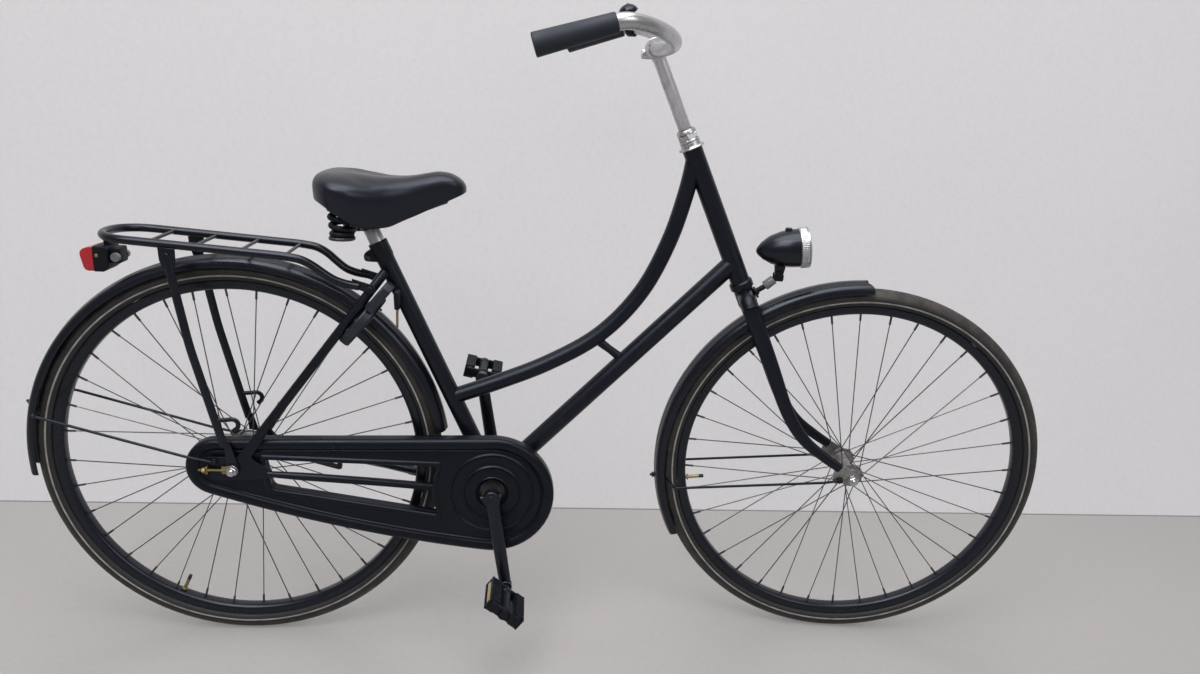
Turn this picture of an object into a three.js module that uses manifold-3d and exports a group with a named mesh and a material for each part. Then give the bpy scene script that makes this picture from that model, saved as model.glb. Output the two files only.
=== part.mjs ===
import * as THREE from 'three';
import { mergeVertices } from 'three/addons/utils/BufferGeometryUtils.js';
import Module from 'manifold-3d';

// Dutch city bike in millimetres: +X forward, +Y to the rider's left, +Z up.
// The origin is on the ground under the rear axle, in the middle plane of the bike.

// Fits and cutting
const GAP = 0.3;
const RUNNING_FIT = 0.5;
const OVERRUN = 5;
const MERGE = 1e-4;

// Stance of the bike
const WHEELBASE = 1100;
const SEAT_ANGLE = 65;
const HEAD_ANGLE = 65;
const STEER_ANGLE = -7;
const CRANK_ANGLE = -9.6;
const PEDAL_ANGLES = { right: 38, left: 12 };

// Wheels: 28 inch, 37-622 tyre, 36 spokes crossed three times
const WHEEL = {
  radius: 348, sides: 32, crownHalf: 5, shoulderDrop: 10, shoulderHalf: 16,
  sideDrop: 18.5, sideHalf: 18.5, seatDrop: 29.2, seatHalf: 12.5,
};
const RIM = {
  drop: 29.6, half: 12.5, brakeDepth: 9.4, depth: 16.4, innerHalf: 7, valve: 3.2, valveReach: 36,
  valveRoot: 8,
};
const SPOKE = {
  radius: 1, sides: 3, perSide: 18, sweep: 40, rimShift: 3, rimGap: 0.5, headOut: 2.4, headIn: 3,
  lace: 0.79,
};
const FRONT_HUB = {
  half: 47, bore: 6, end: 11, neck: 12, barrel: 14, flange: 22, flangeIn: 32, flangeOut: 35, sides: 12,
};
const REAR_HUB = {
  left: 50, right: 38, bore: 9, endLeft: 18, drive: 20, barrel: 28, flange: 34,
  leftIn: 31, leftOut: 33.5, rightIn: 23, rightOut: 25.5, taper: 6, sides: 14,
};
const FRONT_VALVE_ANGLE = 188.3;
const REAR_VALVE_ANGLE = 245.5;
const FRONT_SPOKE_PHASE = 3.3;
const REAR_SPOKE_PHASE = 3;

// Ends of the axles, outwards from the middle plane
const DROPOUT_IN = 58.3;
const DROPOUT_OUT = 63.3;
const FOOT_THICK = 3;
const REAR_AXLE = { radius: 4.8, cone: 8.4, coneIn: 50.3, nut: 8.6, nutLength: 7.5, end: 83, sides: 8 };
const FRONT_AXLE = {
  radius: 4.6, cone: 7.8, coneIn: 47.3, tipIn: 50.3, tipOut: 54.3, nut: 8.6, nutLength: 7.5, end: 66,
  sides: 8,
};
const TENSIONER = {
  thick: 2.4, eye: 9, rod: 2.4, reach: 56, nut: 5.2, nutLength: 6, strap: 18, strapHalf: 7, cap: 3.4,
  reachOut: 72, sides: 8,
};

// Frame
const BOTTOM_BRACKET = { x: 440, z: 306, radius: 20, half: 34, bore: 17, cupBore: 8.6, cup: 8, sides: 14 };
const SEAT_TUBE = {
  radius: 15, bore: 13.6, top: 478, slot: 2.4, slotLength: 34, ear: 11, earReach: 33, earHeight: 15,
  earDrop: 20, sides: 12,
};
const HEAD_TUBE = {
  x: 863, z: 695, radius: 17, bore: 14.6, length: 246, cup: 20.5, cupHeight: 13, cupBore: 13.4, sides: 14,
};
const TOP_TUBE = {
  radius: 14.3, wall: 1.6, sides: 8, steps: 13, seat: 177, head: 218, headFore: -9, endFore: -1,
  route: [[444, 496], [533, 535], [621, 590], [689, 668], [732, 760], [755, 844]],
};
const DOWN_TUBE = { radius: 16.5, wall: 1.6, sides: 10, headDrop: 36 };
const BRIDGE = { radius: 7, share: 0.56, topShare: 0.46, sides: 10 };
const SEATSTAY = {
  radius: 8, armLow: 84, sides: 8, steps: 8, top: 429, topFore: -6, shares: [0.3, 0.62, 0.84, 0.93, 1],
  halves: [54, 44, 37, 31, 19],
};
const CHAINSTAY = {
  radius: 7, sides: 8, steps: 6,
  route: [[56, 61.5, 339], [150, 50, 327.5], [250, 36, 314], [330, 27, 303], [425, 24.5, 294]],
};
const DROPOUT = { slotHalf: 5.4, slotReach: 40, height: 21, armHalf: 8, sides: 18 };

// Seat
const SEATPOST = { radius: 13, low: 395, shoulder: 503, neck: 11, high: 530, sides: 16 };
const SEAT_BOLT = { radius: 3.1, head: 5.6, headLength: 5, nutLength: 5, sides: 12 };
const SADDLE = {
  rear: 140, nose: 385.5, high: 863, skirtLow: 768, width: 205, wall: 5, ceiling: 803.8, noseCeiling: 817.1,
  hollowDrop: 10, hollowSquare: 0.4, hollowCrown: 0.4,
  around: 16, along: 15, drawIn: 0.5, crown: 0.85, square: 0.8, tuck: 0.12, shoulder: 0.42,
  widthShares: [[0, 0.3], [0.03, 0.5], [0.09, 0.76], [0.22, 1], [0.34, 0.92], [0.5, 0.6], [0.66, 0.38],
  [0.84, 0.3], [0.95, 0.24], [1, 0.12]],
  topShares: [[0, 0.62], [0.04, 0.78], [0.13, 0.92], [0.5, 0.86], [0.86, 1], [0.96, 0.94], [1, 0.84]],
  skirtShares: [[0, 0.58], [0.07, 0.5], [0.17, 0.3], [0.33, 0.03], [0.54, 0], [0.78, 0.32], [0.9, 0.5],
  [1, 0.68]],
  ceilingShares: [[0, 0], [0.5, 0], [0.84, 1], [1, 1]],
};
const SADDLE_CLAMP = { x: 219, z: 779, radius: 12, half: 27, sleeve: 15.5, railY: 20, rail: 4, sides: 8 };
const SADDLE_RAIL = {
  noseX: 352, noseZ: 812.7, noseY: 9, noseRun: 60, noseDrop: 22, rearX: 191, rearZ: 750, rearY: 51,
  bend: [[207, 20, 777], [199, 20, 761], [194, 27, 751], [191, 40, 750]],
  plate: 21, plateTop: 5, sides: 6, steps: 9,
};
const SADDLE_SPRING = { coil: 17, wire: 3.1, pitch: 13.8, curls: 3, steps: 8, sides: 5, flatTurn: 0.5 };

// Drive
const CHAIN = {
  pitch: 12.7, half: 4.6, plate: 5, slotHalf: 2.2, slotDepth: 7.2, line: 44, arcSteps: 12,
  rearStepShare: 0.6,
};
const CHAINRING = { teeth: 40, half: 1.5, tipShare: 0.04, rootShare: 0.3, bore: 8.3, hub: 17, hubHalf: 5 };
const SPROCKET = { teeth: 18, half: 1.5, tipShare: 0.04, rootShare: 0.3, bore: 9, hub: 15, hubOut: 49 };
const CASE = {
  rearX: -31.5, rearDrop: 2, rearRadius: 52, frontX: 1, frontDrop: 6.5, frontRadius: 109, bow: 12,
  wall: 1.5,
  outer: 58, split: 46, inner: 34.6, crankHole: 22, axleHole: 11, hubHole: 31, shellHole: 23.5,
  windowRear: 49, windowFront: 334, windowRearTop: 362, windowFrontTop: 354, windowRearLow: 309,
  windowFrontLow: 263,
  windowLean: 11, windowHollow: 10, windowMiddle: 306, arcSteps: 16, holeSides: 14,
};
const CRANK = {
  length: 170, eyeIn: 69, eyeOut: 85, eye: 15, pedalIn: 78, pedalOut: 93, pedalEye: 11.5, sides: 12,
  cotter: 4,
  cotterHalf: 19, cotterLift: 3, arm: 12, armEnd: 10.5, armFlat: 0.62, armSides: 6, spindleRoot: 4, cap: 3,
};
const CRANK_AXLE = { radius: 8, end: 81.5, race: 12, raceIn: 18, raceLength: 5, sides: 12 };
const PEDAL = {
  spindle: 6.2, spindleReach: 80, bore: 6.9, barrel: 11, clear: 9, width: 74, tread: 20, treadHeight: 25,
  span: 70, plate: 5, plateHeight: 19,
};

// Front end
const FORK = {
  steerer: 12.7, steererAbove: 16, steererBore: 11.5, crownTop: -13.6, crownLow: -46, crownHalf: 48,
  crownWide: 17, blade: 15.5, bladeLow: 11.5,
  bladeDepthShare: 0.62, bladeTop: 38, bladeLowY: 47, straight: 262, tip: 8.6, tipEye: 11, sides: 8,
  tipReach: 36, slotHalf: 5, tubeSides: 12,
  tipPoints: [[-95, 69, 48.6], [-56, 40, 50.6], [-26, 21, 52.3]],
};
const UPPER_CUP = { radius: 19.5, neck: 16.5, height: 11, bore: 13.3 };
const LOCKNUT = { radius: 17.5, collar: 15.2, height: 22, bore: 13.1 };
const STEM = {
  radius: 11.1, low: 150, high: 417, head: 17.5, half: 19, bore: 12.3, ear: 11, earReach: 31, earHalf: 8,
  slit: 1.5, bolt: 3.6, boltHalf: 17, sides: 12,
};
const BAR = {
  radius: 11.3, sides: 8, steps: 32,
  path: [
    [686.8, 24, 1072.9], [696, 44, 1073.5], [704, 75, 1075.5], [710, 130, 1082], [704, 183, 1090],
    [685, 234, 1099],
    [655, 268, 1106], [634, 281, 1106], [533, 297, 1074], [525, 298, 1071.5],
  ],
};
const GRIP = { radius: 16.4, neck: 13.4, cap: 4, length: 113, sides: 12 };
const BELL = {
  x: 645, y: 274.2, z: 1106, clamp: 15.5, width: 14, post: 4, rise: 29, plate: 16, plateHeight: 3,
  dome: 18.5, domeHeight: 15,
  domeShares: [0.86, 0.68, 0.45], lever: 22, leverThick: 2.4, leverRing: 8, leverWidth: 7, leverDrop: 8,
  sides: 10,
};
const LAMP = {
  tilt: 8, rearX: 885, rearZ: 750, shellLength: 73, ringLength: 17, wall: 2, sides: 12, knob: 6,
  knobHeight: 5, knobShare: 0.72,
  profileShares: [[0, 0], [0.04, 0.2], [0.14, 0.45], [0.34, 0.74], [0.6, 0.93], [0.84, 1], [1, 1]],
  radius: 33, ring: 35.5, ringBore: 29.5, glass: 29, glassThick: 3, glassBulge: 4, footX: 929, footDrop: 44,
  foot: 5, footHalf: 5,
};
const LAMP_BRACKET = {
  arm: 5, sleeve: 8.5, sleeveTo: 0.72, sleeveFrom: 0.3, plate: 4, plateHalf: 13, plateHeight: 26, sides: 10,
  ear: 10, fork: 8.6, bolt: 2.5,
  boltHead: 5, foreFrom: 4,
};

// Mudguards and their stays
const GUARD = {
  gap: 13.5, shoulderDrop: 2.7, edgeDrop: 10.5, lipDrop: 18.5, crownHalf: 5, shoulderHalf: 15, edgeHalf: 23.5,
  lipHalf: 24.5, thick: 1.5, sides: 36, sectorShare: 1.3, sectorStep: 40,
};
const REAR_GUARD_ARC = [9.5, 186];
const FRONT_GUARD_ARC = [91, 206.5];
const GUARD_STAY = {
  radius: 2.4, sides: 8, wireSides: 6, bolt: 2.6, boltReach: 9, boltHole: 3.2, eye: 6, eyeThick: 3,
  pinReach: 4.6, nut: 5, nutLength: 5,
  shoulderY: 30, path: [[5.6, 0], [7.5, 10], [11.3, 15.7], [16.5, 19.1], [23.5, 21.2], [28.5, 26]],
};
const REAR_STAY = { angle: 165.5, eye: [-31, 13], kneeY: 66.4, knees: [[-315, 91], [-74, 22]] };
const FRONT_STAY = { angle: 186.8, eye: [-25, -1], kneeY: 57.4, knees: [[-324, -39], [-50, -7]] };

// Carrier, tail lamp, lock
const CARRIER = {
  rail: 7, half: 57, barRadius: 3, level: 727, slope: -0.067, rear: -196, corner: 50,
  bendAngles: [30, 60, 90], frontX: 99,
  front: [[126, 57, 716], [144, 55, 706], [160, 51, 692.5], [176, 47, 681], [194, 45.5, 675],
  [215, 45.5, 672]], barStep: 70, bars: 4, sides: 8, wireSides: 6,
  leg: [[-90, 60, 385], [-85, 65, 346], [-58, 67, 219], [-24, 67, 89], [-11, 67, 43]], legRadius: 5.6,
  hook: [[-19, 70], [-4, 74], [14, 88], [24, 105]], hookRadius: 3.4, footHalf: 7, footEye: 11,
  footLap: 14,
  tab: [[203, 684], [203, 670], [232, 659], [241, 667], [234, 675]], tabIn: 41.5, tabOut: 44.5,
  tabBolt: [231, 667], boltHead: 5.5, boltThick: 4,
};
const TAIL_LAMP = {
  front: -172, rear: -212, lens: -230, top: 718, low: 676, half: 24, slope: 14, hanger: 9, wall: 2,
};
const LOCK = {
  angle: 50.5, ringDrop: 20, inner: 38.5, outer: 54.5, half: 9, mouth: 40, bolt: 4.2, boltRing: 45.5,
  groove: 5.1, grooveFloor: 5,
  grooveFrom: -148, grooveTo: 60, boltFrom: -49, boltArc: 92, steps: 12, knob: 4, knobOut: 16,
  knobAngle: 26,
  blockIn: 17, blockOut: 50, blockLow: 34, blockHigh: 92, blockFront: 5, blockBack: 11,
};
const KEY = {
  x: 274, y: -30, z: 661, head: 11, headThick: 3, hole: 2.4, pin: 1.7, blade: 3.6, bladeThick: 2,
  bladeLength: 44, pinLength: 23, hang: -7,
};
const BRAKE_ARM = {
  thick: 3, in: 52.6, hub: 16, width: 9, clipX: 152, clipZ: 300, clip: 10, clipShares: [0.24, 0.27],
};

// Colours
const finish = (color, roughness, metalness) =>
  new THREE.MeshStandardMaterial({ color, roughness, metalness });
const paint = finish(0x14161a, 0.38, 0.1);
const rubber = finish(0x17171a, 0.85, 0);
const plastic = finish(0x101114, 0.5, 0);
const vinyl = finish(0x1b1c21, 0.55, 0);
const silver = finish(0xb9bcc0, 0.38, 0.9);
const chrome = finish(0xd8dadd, 0.15, 1);
const steel = finish(0x8a8d92, 0.4, 0.9);
const brass = finish(0xb9923f, 0.35, 0.9);
const red = finish(0xa3171b, 0.25, 0);
const glass = finish(0xdfe6ea, 0.08, 0);

const wasm = await Module();
wasm.setup();

const root = new THREE.Group();
const right = -1;
const left = 1;
const rad = THREE.MathUtils.degToRad;
const at = (x, y, z) => new THREE.Vector3(x, y, z);
const across = at(0, 1, 0);

// A closed geometry becomes a solid with shared vertices and outward faces.
function solid(geometry) {
  const bare = new THREE.BufferGeometry();
  bare.setAttribute('position', geometry.getAttribute('position'));
  if (geometry.index) bare.setIndex(geometry.index);
  const merged = mergeVertices(bare, MERGE);
  const index = merged.index.array;
  const p = merged.getAttribute('position').array;
  const triangles = [];
  let volume = 0;
  for (let i = 0; i < index.length; i += 3) {
    const [a, b, c] = [index[i], index[i + 1], index[i + 2]];
    if (a === b || b === c || c === a) continue;
    triangles.push(a, b, c);
    const [pa, pb, pc] = [a, b, c].map((k) => at(p[3 * k], p[3 * k + 1], p[3 * k + 2]));
    volume += pa.dot(pb.cross(pc));
  }
  if (volume < 0) triangles.reverse();
  return new wasm.Manifold(new wasm.Mesh({
    numProp: 3, vertProperties: new Float32Array(p), triVerts: new Uint32Array(triangles),
  }));
}

function join(...solids) {
  return solids.slice(1).reduce((whole, piece) => whole.add(piece), solids[0]);
}

function cut(body, ...tools) {
  return tools.reduce((rest, tool) => rest.subtract(tool), body);
}

function add(name, shape, material, group = root) {
  const mesh = shape.getMesh();
  const geometry = new THREE.BufferGeometry();
  geometry.setAttribute('position', new THREE.BufferAttribute(new Float32Array(mesh.vertProperties), 3));
  geometry.setIndex(new THREE.BufferAttribute(new Uint32Array(mesh.triVerts), 1));
  geometry.computeVertexNormals();
  const node = new THREE.Mesh(geometry, material);
  node.name = name;
  group.add(node);
  return node;
}

// Rings of points, one after another, closed by a skin and two flat ends
function ringed(positions, rings, sides) {
  const index = [];
  for (let i = 0; i < rings - 1; i += 1) {
    for (let k = 0; k < sides; k += 1) {
      const [a, b] = [i * sides + k, i * sides + ((k + 1) % sides)];
      index.push(a, b, a + sides, b, b + sides, a + sides);
    }
  }
  const end = (rings - 1) * sides;
  for (let k = 1; k < sides - 1; k += 1) index.push(0, k + 1, k, end, end + k, end + k + 1);
  const geometry = new THREE.BufferGeometry();
  geometry.setAttribute('position', new THREE.Float32BufferAttribute(positions, 3));
  geometry.setIndex(index);
  return solid(geometry);
}

// Basic shapes
function box(sizeX, sizeY, sizeZ, centre, turn = 0) {
  const geometry = new THREE.BoxGeometry(sizeX, sizeY, sizeZ);
  return solid(geometry.rotateY(turn).translate(centre.x, centre.y, centre.z));
}

// A round or oval bar between two points; flat is its depth along Y as a share of its width.
function bar(from, to, radius, sides, { radiusTo = radius, flat = 1 } = {}) {
  const along = to.clone().sub(from);
  const geometry = new THREE.CylinderGeometry(radiusTo, radius, along.length(), sides);
  geometry.rotateY(Math.PI / sides).scale(1, 1, flat);
  const up = along.clone().normalize();
  const side = Math.abs(up.y) > 1 - MERGE ? at(1, 0, 0)
    : across.clone().addScaledVector(up, -up.y).normalize();
  const basis = new THREE.Matrix4().makeBasis(up.clone().cross(side), up, side);
  const centre = from.clone().addScaledVector(along, 1 / 2);
  return solid(geometry.applyMatrix4(basis).translate(centre.x, centre.y, centre.z));
}

function ringShape(radius, sides) {
  const shape = new THREE.Shape();
  for (let i = 0; i < sides; i += 1) {
    const angle = (2 * Math.PI * (i + 1 / 2)) / sides;
    const point = [radius * Math.cos(angle), radius * Math.sin(angle)];
    if (i) shape.lineTo(...point);
    else shape.moveTo(...point);
  }
  shape.closePath();
  return shape;
}

function sweep(points, radius, sides, steps, closed = false) {
  const extrudePath = new THREE.CatmullRomCurve3(points, closed, 'centripetal');
  return solid(new THREE.ExtrudeGeometry(ringShape(radius, sides),
    { steps, extrudePath, bevelEnabled: false }));
}

// A turned ring about a line along Y, from [radius, y] corners; flats touch the radii when faceted.
function turned(corners, sides, centre, { faceted = false } = {}) {
  const grow = faceted ? 1 / Math.cos(Math.PI / sides) : 1;
  const profile = corners.map(([r, y]) => new THREE.Vector2(r * grow, y));
  const touchesAxis = corners[0][0] === 0;
  if (!touchesAxis) profile.push(profile[0].clone());
  const geometry = new THREE.LatheGeometry(profile, sides, Math.PI / sides);
  return solid(geometry.translate(centre.x, centre.y, centre.z));
}

// A turned shape about a slanted line from a point, from [radius, distance] corners.
function turnedAlong(corners, sides, from, direction) {
  const profile = corners.map(([r, d]) => new THREE.Vector2(r, d));
  if (corners[0][0] !== 0) profile.push(profile[0].clone());
  const geometry = new THREE.LatheGeometry(profile, sides, Math.PI / sides);
  const turn = new THREE.Quaternion().setFromUnitVectors(across, direction.clone().normalize());
  return solid(geometry.applyQuaternion(turn).translate(from.x, from.y, from.z));
}

// A plate in the X-Z plane between two Y values, from [x, z] corners.
function plate(corners, yLow, yHigh, holes = []) {
  const shape = new THREE.Shape(corners.map(([x, z]) => new THREE.Vector2(x, z)));
  holes.forEach((hole) => shape.holes.push(new THREE.Path(hole.map(([x, z]) => new THREE.Vector2(x, z)))));
  const geometry = new THREE.ExtrudeGeometry(shape, { depth: yHigh - yLow, bevelEnabled: false });
  return solid(geometry.rotateX(Math.PI / 2).translate(0, yHigh, 0));
}

function arc(x, z, radius, fromAngle, toAngle, steps) {
  return Array.from({ length: steps + 1 }, (_, i) => {
    const angle = rad(fromAngle + ((toAngle - fromAngle) * i) / steps);
    return [x + radius * Math.cos(angle), z + radius * Math.sin(angle)];
  });
}

// A disc about a Y line between two Y values on one side of the bike
function disc(x, z, radius, sideSign, yIn, yOut, sides) {
  return bar(at(x, sideSign * yIn, z), at(x, sideSign * yOut, z), radius, sides);
}

const mirrored = (points) => points.map((p) => at(p.x, -p.y, p.z));

// Axes of the seat tube, the head tube and the wheels
const bracket = at(BOTTOM_BRACKET.x, 0, BOTTOM_BRACKET.z);
const seatUp = at(-Math.cos(rad(SEAT_ANGLE)), 0, Math.sin(rad(SEAT_ANGLE)));
const seatFore = at(Math.sin(rad(SEAT_ANGLE)), 0, Math.cos(rad(SEAT_ANGLE)));
const seatAt = (s, fore = 0, y = 0) => bracket.clone().addScaledVector(seatUp, s).addScaledVector(seatFore,
  fore).add(at(0, y, 0));
const headLow = at(HEAD_TUBE.x, 0, HEAD_TUBE.z);
const headUp = at(-Math.cos(rad(HEAD_ANGLE)), 0, Math.sin(rad(HEAD_ANGLE)));
const headFore = at(Math.sin(rad(HEAD_ANGLE)), 0, Math.cos(rad(HEAD_ANGLE)));
const headAt = (u, fore = 0, y = 0) => headLow.clone().addScaledVector(headUp, u).addScaledVector(headFore,
  fore).add(at(0, y, 0));
const rearAxle = at(0, 0, WHEEL.radius);
const frontAxle = at(WHEELBASE, 0, WHEEL.radius);
const stayEye = (centre, stay, y = 0) => centre.clone().add(at(stay.eye[0], y, stay.eye[1]));
const rimOuter = WHEEL.radius - RIM.drop;
const rimInner = rimOuter - RIM.depth;
const guardCrown = WHEEL.radius + GUARD.gap;
const steererTop = HEAD_TUBE.length + FORK.steererAbove;

// Everything in this group turns with the handlebar, and is described with the bar straight.
const steering = new THREE.Group();
const turnMatrix = new THREE.Matrix4().makeTranslation(headLow.x, headLow.y, headLow.z)
  .multiply(new THREE.Matrix4().makeRotationAxis(headUp, rad(STEER_ANGLE)))
  .multiply(new THREE.Matrix4().makeTranslation(-headLow.x, -headLow.y, -headLow.z));
steering.applyMatrix4(turnMatrix);
root.add(steering);

// Wheels
function tyre(centre) {
  const w = WHEEL;
  const half = [
    [w.radius - w.seatDrop, w.seatHalf], [w.radius - w.sideDrop, w.sideHalf],
    [w.radius - w.shoulderDrop, w.shoulderHalf], [w.radius, w.crownHalf],
  ];
  const corners = [...half.map(([r, y]) => [r, -y]), ...half.reverse()];
  return turned(corners, w.sides, centre, { faceted: true });
}

function rim(centre, valveAngle) {
  const half = [[rimOuter, RIM.half], [rimOuter - RIM.brakeDepth, RIM.half], [rimInner, RIM.innerHalf]];
  const corners = [...half.map(([r, y]) => [r, -y]), ...half.reverse()];
  const ring = turned(corners, WHEEL.sides, centre, { faceted: true });
  const out = at(Math.cos(rad(valveAngle)), 0, Math.sin(rad(valveAngle)));
  const root = centre.clone().addScaledVector(out, rimInner + RIM.valveRoot);
  const end = centre.clone().addScaledVector(out, rimInner - RIM.valveReach);
  return join(ring, bar(root, end, RIM.valve, SPOKE.sides * 2));
}

function spokes(centre, flange, flangeOut, side, phase) {
  const onFlange = flange - SPOKE.headIn;
  const onRim = rimInner - SPOKE.rimGap;
  const all = [];
  for (let i = 0; i < SPOKE.perSide; i += 1) {
    const hole = phase + (360 * i) / SPOKE.perSide;
    const aim = hole + (i % 2 ? -SPOKE.sweep : SPOKE.sweep);
    const point = (r, angle, y) => centre.clone().add(at(r * Math.cos(rad(angle)), y,
      r * Math.sin(rad(angle))));
    const lace = i % 2 ? SPOKE.lace : -SPOKE.lace;
    const head = point(onFlange, hole, side * (flangeOut + SPOKE.headOut + lace));
    const nipple = point(onRim, aim, side * SPOKE.rimShift);
    all.push(bar(head, nipple, SPOKE.radius, SPOKE.sides));
  }
  return join(...all);
}

function frontHub() {
  const h = FRONT_HUB;
  const half = [[h.bore, h.half], [h.end, h.half], [h.neck, h.flangeOut], [h.flange, h.flangeOut],
    [h.flange, h.flangeIn], [h.barrel, h.flangeIn]];
  const corners = [...half.map(([r, y]) => [r, -y]), ...half.reverse()];
  return turned(corners, h.sides, frontAxle);
}

function rearHub() {
  const h = REAR_HUB;
  const corners = [
    [h.bore, -h.right], [h.drive, -h.right], [h.barrel, -h.rightOut - h.taper], [h.barrel, -h.rightOut],
    [h.flange, -h.rightOut], [h.flange, -h.rightIn], [h.barrel, -h.rightIn],
    [h.barrel, h.leftIn], [h.flange, h.leftIn], [h.flange, h.leftOut], [h.barrel, h.leftOut],
    [h.endLeft, h.leftOut + h.taper], [h.endLeft, h.left], [h.bore, h.left],
  ];
  return turned(corners, h.sides, rearAxle);
}

// An axle with its cones and nuts, from the middle outwards
function axle(size, centre, nutIn) {
  const half = [
    [0, size.end], [size.radius, size.end], [size.radius, nutIn + size.nutLength],
    [size.nut, nutIn + size.nutLength],
    [size.nut, nutIn], [size.radius, nutIn], [size.radius, size.coneOut], [size.cone, size.coneOut],
    [size.cone, size.coneIn], [size.radius, size.coneIn],
  ];
  const corners = [...half.map(([r, y]) => [r, -y]), ...half.reverse()];
  return turned(corners, size.sides, centre);
}

const rearNutIn = DROPOUT_OUT + GAP + FOOT_THICK + GAP + TENSIONER.thick + GAP;
const footIn = DROPOUT_OUT + GAP;

add('rear_tyre', tyre(rearAxle), rubber);
add('rear_rim', rim(rearAxle, REAR_VALVE_ANGLE), paint);
add('rear_hub', rearHub(), silver);
add('rear_spokes_right', spokes(rearAxle, REAR_HUB.flange, REAR_HUB.rightOut, right, REAR_SPOKE_PHASE),
  steel);
add('rear_spokes_left', spokes(rearAxle, REAR_HUB.flange, REAR_HUB.leftOut, left,
  REAR_SPOKE_PHASE + 180 / SPOKE.perSide), steel);
add('rear_axle', axle({ ...REAR_AXLE, coneOut: DROPOUT_IN - GAP }, rearAxle, rearNutIn), steel);

add('front_tyre', tyre(frontAxle), rubber, steering);
add('front_rim', rim(frontAxle, FRONT_VALVE_ANGLE), paint, steering);
add('front_hub', frontHub(), silver, steering);
add('front_spokes_right', spokes(frontAxle, FRONT_HUB.flange, FRONT_HUB.flangeOut, right,
  FRONT_SPOKE_PHASE), steel, steering);
add('front_spokes_left', spokes(frontAxle, FRONT_HUB.flange, FRONT_HUB.flangeOut, left,
  FRONT_SPOKE_PHASE + 180 / SPOKE.perSide), steel, steering);
add('front_axle', axle({ ...FRONT_AXLE, coneOut: FRONT_AXLE.tipIn - GAP }, frontAxle,
  FRONT_AXLE.tipOut + GAP), steel, steering);

// Frame tubes
const headSolid = (grow) => bar(headAt(-HEAD_TUBE.length), headAt(HEAD_TUBE.length * 2),
  HEAD_TUBE.radius + grow, HEAD_TUBE.sides);
const seatSolid = (grow) => bar(seatAt(0), seatAt(SEAT_TUBE.top + SEAT_TUBE.radius),
  SEAT_TUBE.radius + grow, SEAT_TUBE.sides);
const shellSolid = (grow) => {
  const [radius, half] = [BOTTOM_BRACKET.radius + grow, BOTTOM_BRACKET.half + OVERRUN];
  return turned([[0, -half], [radius, -half], [radius, half], [0, half]], BOTTOM_BRACKET.sides, bracket);
};

function bottomBracketShell() {
  const b = BOTTOM_BRACKET;
  const half = [[b.cupBore, b.half], [b.radius, b.half]];
  const inside = [[b.bore, b.half - b.cup], [b.cupBore, b.half - b.cup]];
  const corners = [
    ...half.map(([r, y]) => [r, -y]), ...half.slice().reverse(),
    ...inside.slice().reverse(), ...inside.map(([r, y]) => [r, -y]),
  ];
  return turned(corners, b.sides, bracket);
}

function seatTube() {
  const t = SEAT_TUBE;
  const body = bar(seatAt(0), seatAt(t.top), t.radius, t.sides);
  const earLow = seatAt(t.top - t.earDrop - t.earHeight / 2, -t.earReach);
  const earHigh = seatAt(t.top - t.earDrop + t.earHeight / 2, -t.earReach);
  const rootLow = seatAt(t.top - t.earDrop - t.earHeight / 2);
  const rootHigh = seatAt(t.top - t.earDrop + t.earHeight / 2);
  const ears = plate([earLow, rootLow, rootHigh, earHigh].map((p) => [p.x, p.z]), -t.ear, t.ear);
  const bore = bar(seatAt(0), seatAt(t.top + OVERRUN), t.bore, t.sides);
  const slotEnds = [seatAt(t.top - t.slotLength, -t.earReach - OVERRUN), seatAt(t.top - t.slotLength),
    seatAt(t.top + OVERRUN), seatAt(t.top + OVERRUN, -t.earReach - OVERRUN)];
  const slot = plate(slotEnds.map((p) => [p.x, p.z]), -t.slot, t.slot);
  const boltAt = seatAt(t.top - t.earDrop, -t.earReach + SEAT_BOLT.head);
  const boltHole = bar(at(boltAt.x, -t.ear - OVERRUN, boltAt.z), at(boltAt.x, t.ear + OVERRUN, boltAt.z),
    SEAT_BOLT.radius + GAP, SEAT_BOLT.sides);
  return cut(join(body, ears), bore, slot, boltHole, shellSolid(GAP));
}

const topTubeRoute = [
  seatAt(TOP_TUBE.seat), ...TOP_TUBE.route.map(([x, z]) => at(x, 0, z)),
  headAt(TOP_TUBE.head, TOP_TUBE.headFore),
  headAt(HEAD_TUBE.length - TOP_TUBE.radius, TOP_TUBE.endFore),
];
const downTubeHead = headAt(DOWN_TUBE.headDrop);
const bridgeLow = bracket.clone().lerp(downTubeHead, BRIDGE.share);
const bridgeHigh = new THREE.CatmullRomCurve3(topTubeRoute, false,
  'centripetal').getPointAt(BRIDGE.topShare);

function topTube() {
  const t = TOP_TUBE;
  const outer = join(sweep(topTubeRoute, t.radius, t.sides, t.steps),
    bar(bridgeHigh, bridgeLow, BRIDGE.radius, BRIDGE.sides));
  const hollow = sweep(topTubeRoute, t.radius - t.wall, t.sides, t.steps);
  return cut(outer, hollow, headSolid(GAP), seatSolid(GAP),
    bar(bracket, downTubeHead, DOWN_TUBE.radius + GAP, DOWN_TUBE.sides));
}

function downTube() {
  const t = DOWN_TUBE;
  const outer = bar(bracket, downTubeHead, t.radius, t.sides);
  return cut(outer, bar(bracket, downTubeHead, t.radius - t.wall, t.sides), headSolid(GAP), shellSolid(GAP),
    seatSolid(GAP));
}

function headTube() {
  const h = HEAD_TUBE;
  const corners = [
    [h.cupBore, -h.cupHeight], [h.cup, -h.cupHeight], [h.cup, 0], [h.radius, 0], [h.radius, h.length],
    [h.bore, h.length], [h.bore, 0], [h.cupBore, 0],
  ];
  return turnedAlong(corners, h.sides, headLow, headUp);
}

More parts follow.
